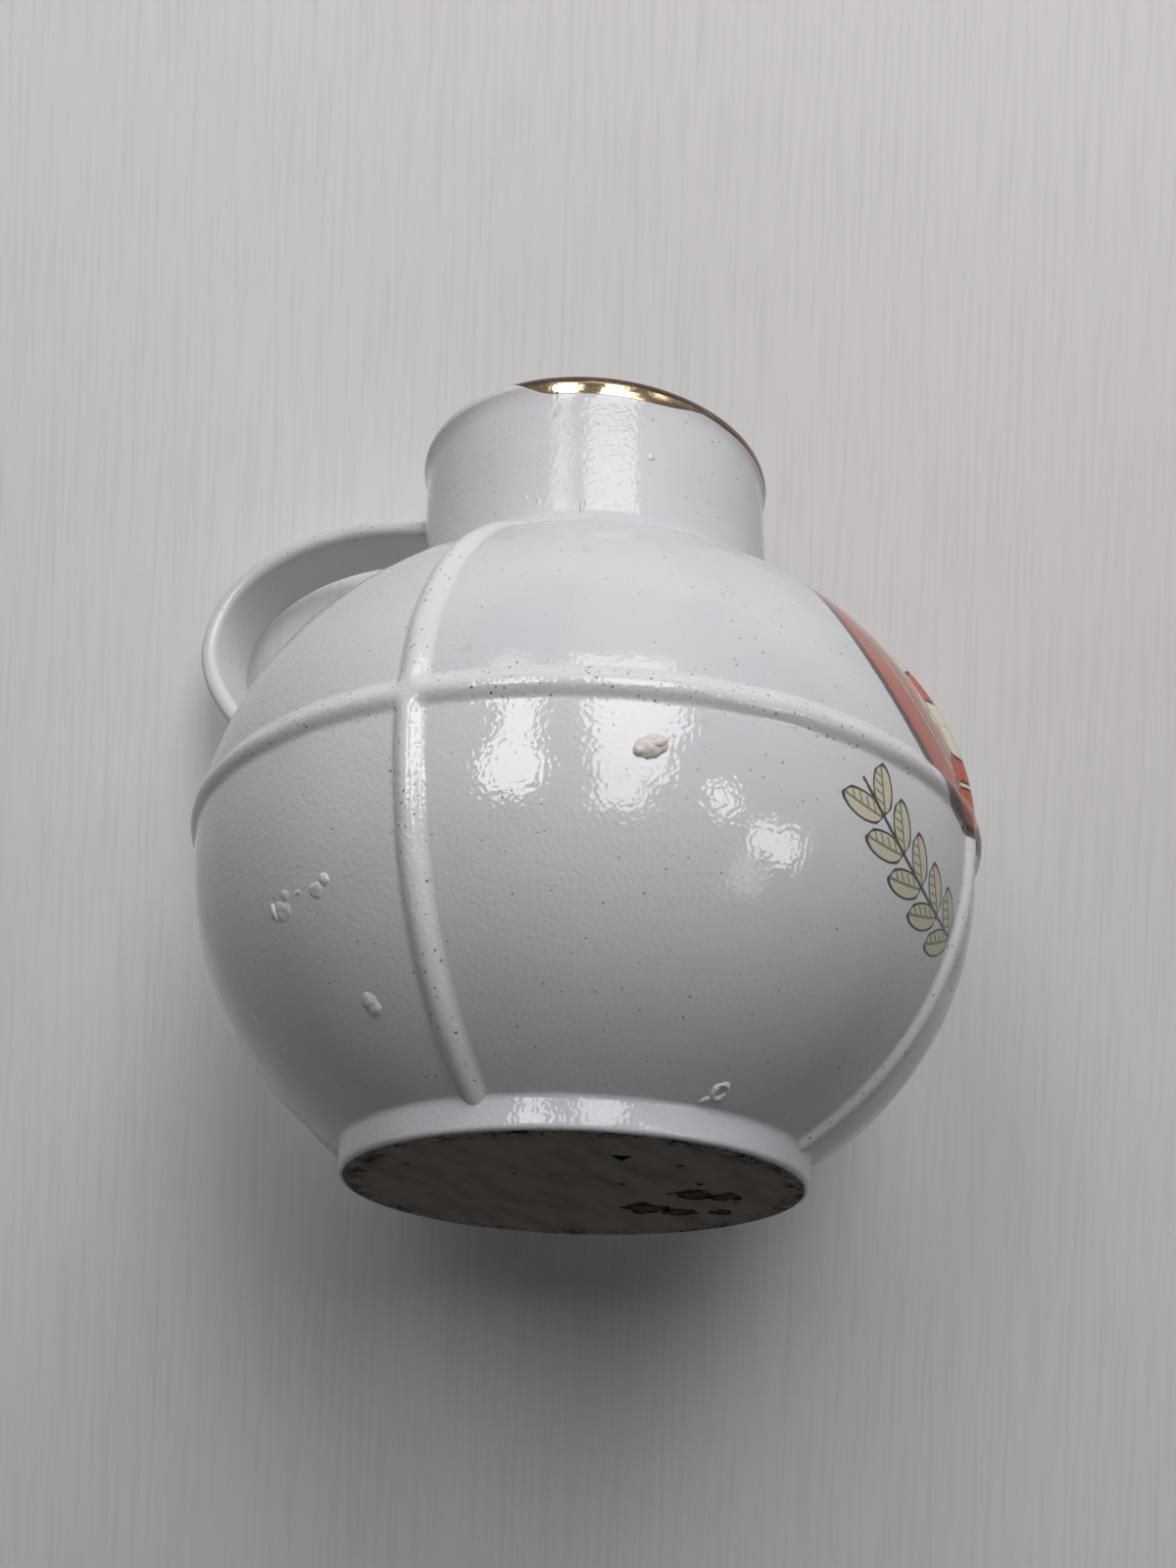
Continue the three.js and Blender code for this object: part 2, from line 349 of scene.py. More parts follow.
def new_object(name, data):
    """An object in the scene's own collection."""
    made = bpy.data.objects.new(name, data)
    bpy.context.scene.collection.objects.link(made)
    return made


def settle(piece, node):
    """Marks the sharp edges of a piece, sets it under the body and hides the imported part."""
    if not len(piece.data.polygons):
        raise RuntimeError(f"{piece.name} came out empty")
    piece.data.set_sharp_from_angle(angle=SHARP_EDGE)
    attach(piece, BODY)
    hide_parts(node)


def chain(name, points):
    """A mesh of points joined one after the other."""
    mesh = bpy.data.meshes.new(name)
    edges = [(i, i + 1) for i in range(len(points) - 1)]
    mesh.from_pydata([tuple(p) for p in points], edges, [])
    return mesh


class Outline:
    """The belly's outline: one power curve above the girth and one below."""

    def __init__(self, sizes, inset=0.0):
        self.radius = sizes.belly_radius - inset
        self.girth = sizes.girth_height
        self.domes = (sizes.lower_dome - inset, sizes.upper_dome - inset)
        self.powers = (sizes.lower_fullness, sizes.upper_fullness)

    def point(self, turn):
        """Radius and height at an outline angle, counted up from the girth."""
        upper = int(turn >= 0)
        share = 2 / self.powers[upper]
        rise = self.domes[upper] * abs(math.sin(turn)) ** share
        radius = self.radius * max(math.cos(turn), 0.0) ** share
        return radius, self.girth + math.copysign(rise, turn)

    def radius_at(self, height):
        """Radius at a height."""
        upper = int(height >= self.girth)
        power = self.powers[upper]
        share = min(abs(height - self.girth) / self.domes[upper], 1.0)
        return self.radius * (1 - share**power) ** (1 / power)

    def angle_at_height(self, height):
        """Outline angle at a height."""
        upper = int(height >= self.girth)
        share = min(abs(height - self.girth) / self.domes[upper], 1.0)
        turn = math.asin(share ** (self.powers[upper] / 2))
        return turn if upper else -turn

    def angle_at_radius(self, radius, upper):
        """Outline angle at a radius, above or below the girth."""
        turn = math.acos((radius / self.radius) ** (self.powers[int(upper)] / 2))
        return turn if upper else -turn

    def run(self, low, high, steps):
        """Points between two outline angles."""
        return [self.point(turn) for turn in np.linspace(low, high, steps)]


def fillet(corner, before, after, steps):
    """Points of a quadratic curve that rounds a corner, without its two ends."""
    corner, before, after = (np.array(p) for p in (corner, before, after))
    shares = np.linspace(0.0, 1.0, steps + 2)[1:-1]
    return [
        tuple((1 - t) ** 2 * before + 2 * t * (1 - t) * corner + t * t * after) for t in shares
    ]


# The neck was pushed a little aside before firing, so that its rim leans along this azimuth.
LEAN_TURN = math.radians(22.9)
LEAN_SHIFT = -0.4 * MM
LEAN_TILT = -0.045
# A profile is swept along a circle of this radius.
PATH_RADIUS = 0.05


def turned_form():
    """A form turned about the upright axis, which may lean and tilt between two heights."""
    form = Form("turned_form")
    profile = form.take("Profile", "NodeSocketGeometry")
    steps = form.take("Steps", "NodeSocketInt")
    reach, low, high, shift, tilt = form.lengths(
        "Path Radius", "Lean From", "Lean To", "Lean Shift", "Lean Tilt"
    )
    sockets = {"Resolution": steps, "Radius": reach}
    circle = form.add("GeometryNodeCurvePrimitiveCircle", {"mode": "RADIUS"}, sockets)
    path = form.add("GeometryNodeSetCurveNormal", {"mode": "Z_UP"}, {"Curve": circle})
    section = form.add("GeometryNodeMeshToCurve", None, {"Mesh": profile})
    swept = form.add("GeometryNodeCurveToMesh", None, {"Curve": path, "Profile Curve": section})
    outward = form.add("GeometryNodeFlipFaces", None, {"Mesh": form.weld(swept)})
    x, y, z = form.axes(form.add("GeometryNodeInputPosition"))
    share = ((z - low) / (high - low)).most(0.0).least(1.0)
    way = (math.cos(LEAN_TURN), math.sin(LEAN_TURN))
    side = x * way[0] + y * way[1]
    move = form.combine(shift * share * way[0], shift * share * way[1], tilt * share * side)
    leaned = form.add("GeometryNodeSetPosition", None, {"Geometry": outward, "Offset": move})
    form.give(leaned)
    return form


def turn(form, name, profile, sizes, steps, material, leaning):
    """Turns a profile of radius and height points into a piece."""
    points = [(radius - PATH_RADIUS, -height, 0.0) for radius, height in profile]
    values = {
        "Steps": steps,
        "Path Radius": PATH_RADIUS,
        "Lean From": sizes.neck_start,
        "Lean To": sizes.lip_height,
        "Lean Shift": LEAN_SHIFT * leaning,
        "Lean Tilt": LEAN_TILT * leaning,
        "Material": material,
    }
    return form.shape(name, chain(name, points), values)


# The bands' inputs and the sizes that fill them.
BELLY_INPUTS = {
    "Belly Radius": "belly_radius",
    "Girth Height": "girth_height",
    "Upper Dome": "upper_dome",
    "Lower Dome": "lower_dome",
    "Upper Fullness": "upper_fullness",
    "Lower Fullness": "lower_fullness",
}


def belly_values(sizes):
    """The belly's sizes under the names of the bands' inputs."""
    return {label: getattr(sizes, name) for label, name in BELLY_INPUTS.items()}


def belly_height_surface(form, belly, offset, around, lift):
    """A point over the belly, given by its height from the girth and its azimuth."""
    radius, girth, upper_dome, lower_dome, upper_power, lower_power = belly
    above = offset > 0.0
    dome = lower_dome + above * (upper_dome - lower_dome)
    power = lower_power + above * (upper_power - lower_power)
    share = abs(offset) / dome
    reach = (1.0 - share**power) ** (1.0 / power)
    out = reach ** (power - 1.0) / radius
    rise = (2.0 * above - 1.0) * share ** (power - 1.0) / dome
    size = (out * out + rise * rise).root()
    wide = radius * reach + lift * out / size
    high = girth + offset + lift * rise / size
    return form.combine(wide * around.cosine(), wide * around.sine(), high)


def belly_angle_surface(form, belly, tilt, turn_to, across, lift):
    """A point over the belly, given by its outline angle and its distance across a rib."""
    radius, girth, upper_dome, lower_dome, upper_power, lower_power = belly
    above = tilt > 0.0
    sign = 2.0 * above - 1.0
    dome = lower_dome + above * (upper_dome - lower_dome)
    share = 2.0 / (lower_power + above * (upper_power - lower_power))
    flat = tilt.cosine().most(0.0)
    steep = abs(tilt.sine())
    wide = radius * flat**share
    high = sign * dome * steep**share
    out = flat ** (2.0 - share) / radius
    rise = sign * steep ** (2.0 - share) / dome
    size = (out * out + rise * rise).root()
    around = turn_to + across / wide
    far = wide + lift * out / size
    top = girth + high + lift * rise / size
    return form.combine(far * around.cosine(), far * around.sine(), top), high


# Share of a band's girdle that lies on its top, and the points in the whole girdle.
TOP_SHARE = 0.75
POINTS_ACROSS = 41
SIDE_SLACK = 0.001
END_SLACK = 0.0005
# How far a band's edge lies past the foot of its round, and the softness of the glaze there.
BAND_SPREAD = 1.5
MENISCUS = 0.42
# How far a hand-laid band drifts aside, and how often.
SWAY = 0.5 * MM
SWAY_BENDS = 7.0
# How deep a band's edge and its underside lie in the wall.
SKIRT = 0.03 * MM
SINK = 0.8 * MM
# Outline angles at which the ribs start on the foot and end on the neck.
RIB_LOW = math.radians(-60.0)
RIB_HIGH = math.radians(61.5)
# Ribs widen where they run out on the neck, and narrow and sink into the foot, over these
# shares of their run.
RIB_FLARE = 0.7
RIB_FLARE_FROM = 0.92
FOOT_TAPER = 0.12
FOOT_TAPER_OVER = (0.02, 0.1)
FOOT_FADE = 0.028
# Half the gap that the handle's root leaves in its rib, and the arcs' overlap with the ribs.
ROOT_GAP = 1.0 * MM
ARC_OVERLAP = 0.002
STEPS_PER_RADIAN = 110
LEAST_STEPS = 12
ARC_STEPS = 140


def swell(across):
    """The round section of a raised band, 1 on its crest, with glaze drawn into its edges."""
    bulge = 1.0 - across * across * BAND_SPREAD**2
    full = 1.0 + math.sqrt(1.0 + MENISCUS**2)
    return (bulge + (bulge * bulge + MENISCUS**2).root()) / full


def sway(form, along, seed):
    """The drift of a hand-laid band to either side, none at its ends."""
    drift = form.noise(form.combine(along * SWAY_BENDS, seed, 0.0), 1.0, 1.0) - 0.5
    return drift * (along * math.pi).sine() * SWAY


def band_grid(form):
    """A unit grid as run along a band, place across it, and masks of its top and ends."""
    long = form.take("Steps Along", "NodeSocketInt")
    sockets = {"Size X": 1.0, "Size Y": 1.0, "Vertices X": long, "Vertices Y": POINTS_ACROSS}
    grid = form.add("GeometryNodeMeshGrid", None, sockets)
    x, y, _ = form.axes(form.add("GeometryNodeInputPosition"))
    end = 1.0 / (long - 1.0)
    along = x + 0.5
    run = ((along - end) / (1.0 - 2.0 * end)).most(0.0).least(1.0)
    girdle = y + 0.5
    over = (girdle / TOP_SHARE).least(1.0)
    under = ((girdle - TOP_SHARE) / (1.0 - TOP_SHARE)).most(0.0)
    across = 2.0 * over - 1.0 - 2.0 * under
    top = (girdle < TOP_SHARE + SIDE_SLACK).most(girdle > 1.0 - SIDE_SLACK)
    inner = (along > END_SLACK) * (along < 1.0 - END_SLACK)
    return grid, run, across * inner, top * inner


def close_band(form, grid, place, crest, turned_over=False):
    """Moves the grid onto its place, welds its seams and keeps the crest for the glaze."""
    moved = form.add("GeometryNodeSetPosition", None, {"Geometry": grid, "Position": place})
    kept = form.add(
        "GeometryNodeStoreNamedAttribute",
        {"data_type": "FLOAT", "domain": "POINT"},
        {"Geometry": moved, "Name": "crest", "Value": crest},
    )
    welded = form.weld(kept)
    if turned_over:
        welded = form.add("GeometryNodeFlipFaces", None, {"Mesh": welded})
    form.give(welded)


def rib_form():
    """An upright raised rib on the belly, swelling where the girth crosses it."""
    form = Form("rib_form")
    belly = form.lengths(*BELLY_INPUTS)
    half, relief, sink, turn_to = form.lengths("Half Width", "Relief", "Sink", "Turn")
    low, high = form.lengths("From Angle", "To Angle")
    grid, along, across, top = band_grid(form)
    tilt = low + along * (high - low)
    flare = 1.0 + RIB_FLARE * form.step(along, RIB_FLARE_FROM, 1.0)
    flare = flare - FOOT_TAPER * (1.0 - form.step(along, *FOOT_TAPER_OVER))
    rib = swell(across)
    level = belly_angle_surface(form, belly, tilt, turn_to, 0.0, 0.0)[1]
    ring = swell(level / half)
    crest = (rib + ring - rib * ring) * top * form.step(along, 0.0, FOOT_FADE)
    lift = crest * (relief + SKIRT) - SKIRT - (1.0 - top) * sink
    aside = across * half * flare + sway(form, along, turn_to)
    place, _ = belly_angle_surface(form, belly, tilt, turn_to, aside, lift)
    close_band(form, grid, place, crest, turned_over=True)
    return form


def girth_form():
    """A raised arc of the girth from one rib to the next."""
    form = Form("girth_form")
    belly = form.lengths(*BELLY_INPUTS)
    half, relief, sink = form.lengths("Half Width", "Relief", "Sink")
    low, high = form.lengths("From Angle", "To Angle")
    grid, along, across, top = band_grid(form)
    crest = swell(across) * top
    lift = crest * (relief + SKIRT) - SKIRT - (1.0 - top) * sink
    around = low + along * (high - low)
    aside = across * half + sway(form, along, low)
    place = belly_height_surface(form, belly, aside, around, lift)
    close_band(form, grid, place, crest)
    return form


# Slopes of the handle's two roots, and the pull of each end and of the bend on its curve.
UPPER_ROOT_SLOPE = math.radians(20.0)
UPPER_ROOT_REACH = 11.0 * MM
LOWER_ROOT_SLOPE = math.radians(49.0)
LOWER_ROOT_REACH = 6.1 * MM
BEND_REACH_UP = 9.3 * MM
BEND_REACH_DOWN = 5.3 * MM
ROOT_DEPTH = 1.4 * MM
UPPER_STEPS = 48
LOWER_STEPS = 40
STRAP_EDGE_STEPS = 7


def strap_form():
    """A flat strap with round edges, swept along a path."""
    form = Form("strap_form")
    path = form.take("Path", "NodeSocketGeometry")
    width, thick, rounding = form.lengths("Width", "Thickness", "Rounding")
    line = form.add("GeometryNodeMeshToCurve", None, {"Mesh": path})
    flat = form.add(
        "GeometryNodeCurvePrimitiveQuadrilateral",
        {"mode": "RECTANGLE"},
        {"Width": width, "Height": thick},
    )
    section = form.add(
        "GeometryNodeFilletCurve",
        {"mode": "POLY"},
        {"Curve": flat, "Count": STRAP_EDGE_STEPS, "Radius": rounding, "Limit Radius": True},
    )
    swept = form.add(
        "GeometryNodeCurveToMesh",
        None,
        {"Curve": line, "Profile Curve": section, "Fill Caps": True},
    )
    form.give(form.weld(swept))
    return form


def curve_points(start, pull_start, pull_end, end, steps):
    """Points of a cubic curve, from its start to just before its end."""
    start, pull_start, pull_end, end = (np.array(p) for p in (start, pull_start, pull_end, end))
    shares = np.linspace(0.0, 1.0, steps, endpoint=False)[:, None]
    back = 1 - shares
    return (
        back**3 * start
        + 3 * back**2 * shares * pull_start
        + 3 * back * shares**2 * pull_end
        + shares**3 * end
    )


def handle_roots(sizes):
    """The two roots of the handle, each as (radius, height) with its outward direction."""
    outline = Outline(sizes)
    upper_way = np.array((math.cos(UPPER_ROOT_SLOPE), math.sin(UPPER_ROOT_SLOPE)))
    lower_way = np.array((math.cos(LOWER_ROOT_SLOPE), math.sin(LOWER_ROOT_SLOPE)))
    lower_radius = outline.radius_at(sizes.lower_root)
    upper = np.array((sizes.neck_radius, sizes.upper_root))
    lower = np.array((lower_radius, sizes.lower_root))
    return (upper, upper_way), (lower, lower_way)


def handle_path(sizes):
    """The strap's middle line on the -X side, with both ends inside the walls."""
    (upper, upper_way), (lower, lower_way) = handle_roots(sizes)
    bend = np.array((sizes.handle_out, sizes.bend_height))
    rise = np.array((0.0, 1.0))
    pull = upper + UPPER_ROOT_REACH * upper_way
    first = curve_points(upper, pull, bend + BEND_REACH_UP * rise, bend, UPPER_STEPS)
    pull = lower + LOWER_ROOT_REACH * lower_way
    second = curve_points(bend, bend - BEND_REACH_DOWN * rise, pull, lower, LOWER_STEPS)
    ends = (upper - ROOT_DEPTH * upper_way, lower, lower - ROOT_DEPTH * lower_way)
    line = np.vstack((ends[0], first, second, ends[1], ends[2]))
    return [(-radius, 0.0, height) for radius, height in line]


# A collar spreads on the wall and stands up the strap, with both edges tucked in.
COLLAR_SPREAD = 1.0 * MM
COLLAR_STAND = 1.3 * MM
COLLAR_TUCK = 0.2 * MM
COLLAR_DRAW = 0.12
COLLAR_DEPTH = 0.5 * MM
COLLAR_SQUARENESS = 5.0
COLLAR_POINTS = 64
COLLAR_STEPS = 9
SEARCH_REACH = 6.0 * MM
SEARCH_STEPS = 40


def loft(name, rows, material):
    """A closed mesh from rows of points, each row a ring, capped at both ends."""
    count = len(rows[0])
    points = [tuple(p) for row in rows for p in row]
    faces = []
    for i in range(len(rows) - 1):
        for j in range(count):
            k = (j + 1) % count
            faces.append((i * count + j, i * count + k, (i + 1) * count + k, (i + 1) * count + j))
    for row, order in ((0, -1), (len(rows) - 1, 1)):
        points.append(tuple(np.mean(rows[row], axis=0)))
        hub = len(points) - 1
        for j in range(count):
            pair = (row * count + j, row * count + (j + 1) % count)
            faces.append((hub, *pair[::order]))
    mesh = bpy.data.meshes.new(name)
    mesh.from_pydata(points, [], faces)
    mesh.validate()
    for face in mesh.polygons:
        face.use_smooth = True
    mesh.materials.append(material)
    return new_object(name, mesh)


def collar_rows(root, way, wall, sizes):
    """Rings of a concave collar that flows from the strap into the wall."""
    centre = np.array((-root[0], 0.0, root[1]))
    outward = np.array((-way[0], 0.0, way[1]))
    side = np.array((0.0, 1.0, 0.0))
    across = np.cross(outward, side)
    half = np.array((sizes.strap_width, sizes.strap_thickness)) / 2
    turns = np.linspace(2 * math.pi, 0.0, COLLAR_POINTS, endpoint=False)
    rings = []
    for turn_to in turns:
        c, s = math.cos(turn_to), math.sin(turn_to)
        flat = [math.copysign(abs(part) ** (2 / COLLAR_SQUARENESS), part) for part in (c, s)]
        edge = half * np.array(flat)
        push = np.array((c, s)) * COLLAR_SPREAD

        def reach(offset):
            """The point of the wall straight below an offset on the strap's section."""
            foot = centre + side * offset[0] + across * offset[1]
            near, far = -SEARCH_REACH, SEARCH_REACH
            for _ in range(SEARCH_STEPS):
                middle = (near + far) / 2
                near, far = (near, middle) if wall(foot + outward * middle) > 0 else (middle, far)
            return foot + outward * near

        corner = reach(edge)
        start = corner + outward * COLLAR_STAND
        end = reach(edge + push)
        inward = (side * edge[0] + across * edge[1]) * COLLAR_DRAW
        inside = start - outward * COLLAR_TUCK - inward
        flow = fillet(corner, start, end, COLLAR_STEPS)
        rings.append([inside, start, *flow, end, end - outward * COLLAR_DEPTH])
    return [[ring[i] for ring in rings] for i in range(len(rings[0]))]


class Finish(Tree):
    """A procedural material on a piece's own coordinates."""

    def __init__(self, name):
        self.material = bpy.data.materials.new(name)
        self.material.use_nodes = True
        tree = self.material.node_tree
        tree.nodes.clear()
        super().__init__(tree.nodes, tree.links)
        self.place = self.add("ShaderNodeTexCoord", out="Object")
        self.x, self.y, self.z = self.axes(self.place)

    def from_axis(self):
        """The distance from the jug's axis."""
        return (self.x * self.x + self.y * self.y).root()

    def bump(self, height):
        """The normal of a surface that rises by a height in metres."""
        sockets = {"Strength": 1.0, "Distance": 1.0, "Height": height}
        return self.add("ShaderNodeBump", None, sockets)

    def principled(self, tint, gloss, sockets):
        """The shader of a surface, from its colour, its roughness and its other sockets."""
        sockets = {"Base Color": tint, "Roughness": gloss, **sockets}
        return self.add("ShaderNodeBsdfPrincipled", None, sockets)

    def close(self, shader):
        """Ends the material in a shader and returns it."""
        self.add("ShaderNodeOutputMaterial", None, {"Surface": shader})
        return self.material

    def specks(self, scale, radius, keep, core=0.45):
        """Small dots of a radius in metres, solid within their core, with a random value each."""
        cells = self.add(
            "ShaderNodeTexVoronoi",
            {"feature": "F1"},
            {"Vector": self.place, "Scale": scale, "Randomness": 1.0},
            out="Distance",
        )
        random = self.add("ShaderNodeSeparateColor", None, {0: cells["Color"]})
        spread = radius * scale * (0.5 + random["Green"])
        dots = 1.0 - self.step(cells / spread, core, 1.0)
        return dots * (random["Red"] < keep), random["Blue"]


# The print, in mm and degrees on the flattened wall.
PRINT_RISE = 12.0
ROUNDEL_RADIUS = 13.4
HOOP_RADIUS = 9.6
HOOP_HALF = 0.25
HOOP_EDGE = (0.2, 0.3)
PETAL_RADIUS = 4.6
PETAL_SWING = 2.8
PETAL_POWER = 0.7
PETALS = 8
HEART_RADIUS = 1.85
HEART_EDGE = (1.75, 1.9)
VEIN_FROM = 2.2
VEIN_SPREAD = 0.3
VEIN_END = 9.0
VEIN_THIN = 1.6
INK_EDGE = (0.16, 0.3)
INK_PAST = 0.6
PRINT_SOFT = 0.06
FRAY = 0.16
FRAY_SCALE = 2600.0
STEM_RADIUS = 22.1
LEAF_PITCH = 8.6
LEAF_OFFSET = 1.25
LEAF_LENGTH = 1.95
LEAF_WIDTH = 0.95
LEAF_TURN = 34.0
LEAVES = 5
LEAVES_FROM = 4.0
LEAF_EDGE = (0.95, 1.02)
LEAF_RIM = (0.06, 0.12)
LEAF_RIB = (0.06, 0.14)
STEM_EDGE = (0.1, 0.2)
# Hatching on the lower half of each leaf: its run, its slope, its share and its depth.
HATCH_ALONG = 9.0
HATCH_ACROSS = 6.0
HATCH_FROM = 0.55
HATCH_DEPTH = 0.75
# How dark the ink lies on all lines, on the ribs of the leaves and on their hatching.
INK_SHARE = 0.92
RIB_SHARE = 0.7
HATCH_SHARE = 0.6
# Least distance in metres from the +X axis, so that nothing is divided by zero.
POLE_GUARD = 1e-6


def print_design(finish, sizes, colours, base):
    """A coral roundel with a cream rosette over two leaf sprays, on the +X side."""
    centre = finish.vector("SUBTRACT", finish.place, (0.0, 0.0, sizes.girth_height))
    x, y, z = finish.axes(centre)
    flat = (y * y + z * z).root().most(POLE_GUARD)
    lean = flat.angle(x) * (sizes.belly_radius / MM)
    right = y / flat * lean
    up = z / flat * lean - PRINT_RISE
    far = (right * right + up * up).root()
    fray = (finish.noise(finish.place, FRAY_SCALE) - 0.5) * FRAY
    ring = far + fray
    spoke = up.angle(right)
    edge = PETAL_RADIUS + PETAL_SWING * abs((spoke * (PETALS / 2)).cosine()) ** PETAL_POWER
    ground = 1.0 - finish.step(ring, ROUNDEL_RADIUS - PRINT_SOFT, ROUNDEL_RADIUS + PRINT_SOFT)
    petal = 1.0 - finish.step(ring, edge - PRINT_SOFT, edge + PRINT_SOFT)
    heart = 1.0 - finish.step(ring, *HEART_EDGE)
    hoop = 1.0 - finish.step(abs(ring - HOOP_RADIUS), *HOOP_EDGE)
    cream = (petal - heart + hoop).most(0.0)
    # Rings of ink, each with how thin it is drawn.
    rings = (
        (ROUNDEL_RADIUS, 0.5),
        (edge, 1.3),
        (HEART_RADIUS, 1.3),
        (HOOP_RADIUS - HOOP_HALF, 2.0),
        (HOOP_RADIUS + HOOP_HALF, 2.0),
    )
    lines = [abs(ring - radius) * thin for radius, thin in rings]
    vein = abs((spoke * (PETALS / 2)).sine()) * far * VEIN_SPREAD
    vein = vein + (far - edge).most(0.0) * VEIN_END
    lines.append(vein.most(VEIN_FROM - far) * VEIN_THIN)
    nearest = lines[0]
    for line in lines[1:]:
        nearest = nearest.least(line)
    ink = 1.0 - finish.step(nearest, *INK_EDGE)

    swing = abs(right).angle(-up)
    pitch = math.radians(LEAF_PITCH)
    cell = (swing - math.radians(LEAVES_FROM)) / pitch
    along = (cell - cell.floor() - 0.5) * (pitch * STEM_RADIUS)
    side = abs(far - STEM_RADIUS) - LEAF_OFFSET
    turned = math.radians(LEAF_TURN)
    run = along * math.cos(turned) + side * math.sin(turned)
    rise = side * math.cos(turned) - along * math.sin(turned)
    body = ((run / LEAF_LENGTH) ** 2.0 + (rise / LEAF_WIDTH) ** 2.0).root() + fray * 0.3
    last = math.radians(LEAVES_FROM + LEAVES * LEAF_PITCH)
    span = (swing > math.radians(LEAVES_FROM)) * (swing < last)
    leaf = (1.0 - finish.step(body, *LEAF_EDGE)) * span
    rim = (1.0 - finish.step(abs(body - 1.0), *LEAF_RIM)) * span
    rib = (1.0 - finish.step(abs(rise), *LEAF_RIB)) * leaf
    hatch = (run * HATCH_ALONG + rise * HATCH_ACROSS).sine() > HATCH_FROM
    hatch = hatch * (rise < 0.0) * (rise > -HATCH_DEPTH) * leaf
    stem = (1.0 - finish.step(abs(far - STEM_RADIUS + fray), *STEM_EDGE)) * span
    front = x > 0.0
    tint = finish.mix(ground * front, base, colours.roundel)
    tint = finish.mix(cream.most(leaf) * front, tint, colours.cream)
    dark = ink * (far < ROUNDEL_RADIUS + INK_PAST)
    dark = dark.most(rim).most(rib * RIB_SHARE).most(hatch * HATCH_SHARE).most(stem)
    return finish.mix(dark * front * INK_SHARE, tint, colours.ink)


# How far the gold reaches down from the rim, how ragged its edge is, and where it stops inside.
GILT_DEPTH = 1.2 * MM
GILT_RAGGED = 0.16 * MM
GILT_SCALE = 420.0
GILT_SOFT = 0.04 * MM
GILT_INNER = (13.2 * MM, 13.5 * MM)
# Stretches where the gold runs deeper, has worn off, or is dull and darkened as a painted dark
# reflection: azimuth, half width and half width in full.
GILT_FULL = (-68.0, 36.0, 14.0)
GILT_EXTRA = 0.7 * MM
GILT_BARE = (-142.0, 60.0, 36.0)
GILT_LOST = 1.7 * MM
# One side of the gold is dull with painted shade, and a band along the rim's top is painted darker
# as a dark reflection.
GILT_DULL_SHADE = (-12.0, 50.0, 24.0)
DULL_SHADE_SHARE = 0.8
RIM_SHADE_DEPTH = 1.0 * MM
RIM_SHADE_SOFT = 0.15 * MM


def gilding(finish, sizes):
    """Where gold lies on the neck and lip, and where it is dull and painted darker as a dark
    reflection.
    """
    x, y, z = finish.x, finish.y, finish.z
    far = finish.from_axis()

    def facing(degrees, wide, full):
        """1 within the full half width of an azimuth, 0 past the wide one."""
        way = math.radians(degrees)
        share = (x * math.cos(way) + y * math.sin(way)) / far
        return finish.step(share, math.cos(math.radians(wide)), math.cos(math.radians(full)))

    side = x * math.cos(LEAN_TURN) + y * math.sin(LEAN_TURN)
    drop = sizes.lip_height + side * LEAN_TILT - z
    ragged = (finish.noise(finish.place, GILT_SCALE, 3.0) - 0.5) * GILT_RAGGED
    depth = GILT_DEPTH + facing(*GILT_FULL) * GILT_EXTRA - facing(*GILT_BARE) * GILT_LOST
    painted = finish.step(depth + ragged - drop, -GILT_SOFT, GILT_SOFT)
    inner = finish.step(far + ragged * 1.5, *GILT_INNER)
    # Painted dark reflection: the gold darkens along the rim's top and on its dull side.
    dull_and_shade = 1.0 - finish.step(drop, RIM_SHADE_DEPTH - RIM_SHADE_SOFT, RIM_SHADE_DEPTH + RIM_SHADE_SOFT)
    dull_and_shade = dull_and_shade.most(facing(*GILT_DULL_SHADE) * DULL_SHADE_SHARE)
    return painted * inner, dull_and_shade


# Scales and depths in metres of the glaze's skin, and how much deeper it is on neck and foot.
FINE_SCALE = 3000.0
FINE_DEPTH = 20e-6
PEEL_SCALE = 1100.0
PEEL_DEPTH = 10e-6
WAVE_SCALE = 280.0
WAVE_DEPTH = 35e-6
NECK_SKIN = 1.2
FOOT_SKIN = 1.6


def skin(finish, depth=1.0):
    """The height of the glaze's skin: fine and coarse orange peel on a slow wave."""
    return (
        finish.noise(finish.place, FINE_SCALE, 0.5) * (FINE_DEPTH * depth)
        + finish.noise(finish.place, PEEL_SCALE, 1.0) * (PEEL_DEPTH * depth)
        + finish.noise(finish.place, WAVE_SCALE, 1.0) * (WAVE_DEPTH * depth)
    )


# The white glaze: its gloss, its clouds and the heights between which it pools.
GLAZE_IOR = 1.6
GLAZE_GLOSS = 0.03
GLOSS_SCALE = 700.0
CLOUD_SCALE = 110.0
POOL_HEIGHTS = (2.2 * MM, 4.2 * MM)
# Specks: scale of their cells, radius, share of the cells that hold one, and solid core.
SMUDGES = (330.0, 0.42 * MM, 0.4, 0.1)
FEW_SPECKS = (1300.0, 0.09 * MM, 0.65, 0.3)
CREST_SPECKS = (1800.0, 0.11 * MM, 0.85, 0.3)
SPECK_DIM = 0.4
SPECK_DEPTH = 8e-6
CREST_SCALE = 3300.0
CREST_DEPTH = 30e-6
# Rings left by throwing the neck, and the wear and brush marks of its gold.
THROWING_STRETCH = (0.2, 0.2, 1.0)
THROWING_SCALE = 1900.0
THROWING_DEPTH = 14e-6
WEAR_SCALE = 300.0
BRUSH_STRETCH = (1.0, 1.0, 6.0)
BRUSH_SCALE = 900.0
GOLD_SMOOTHING = 0.65


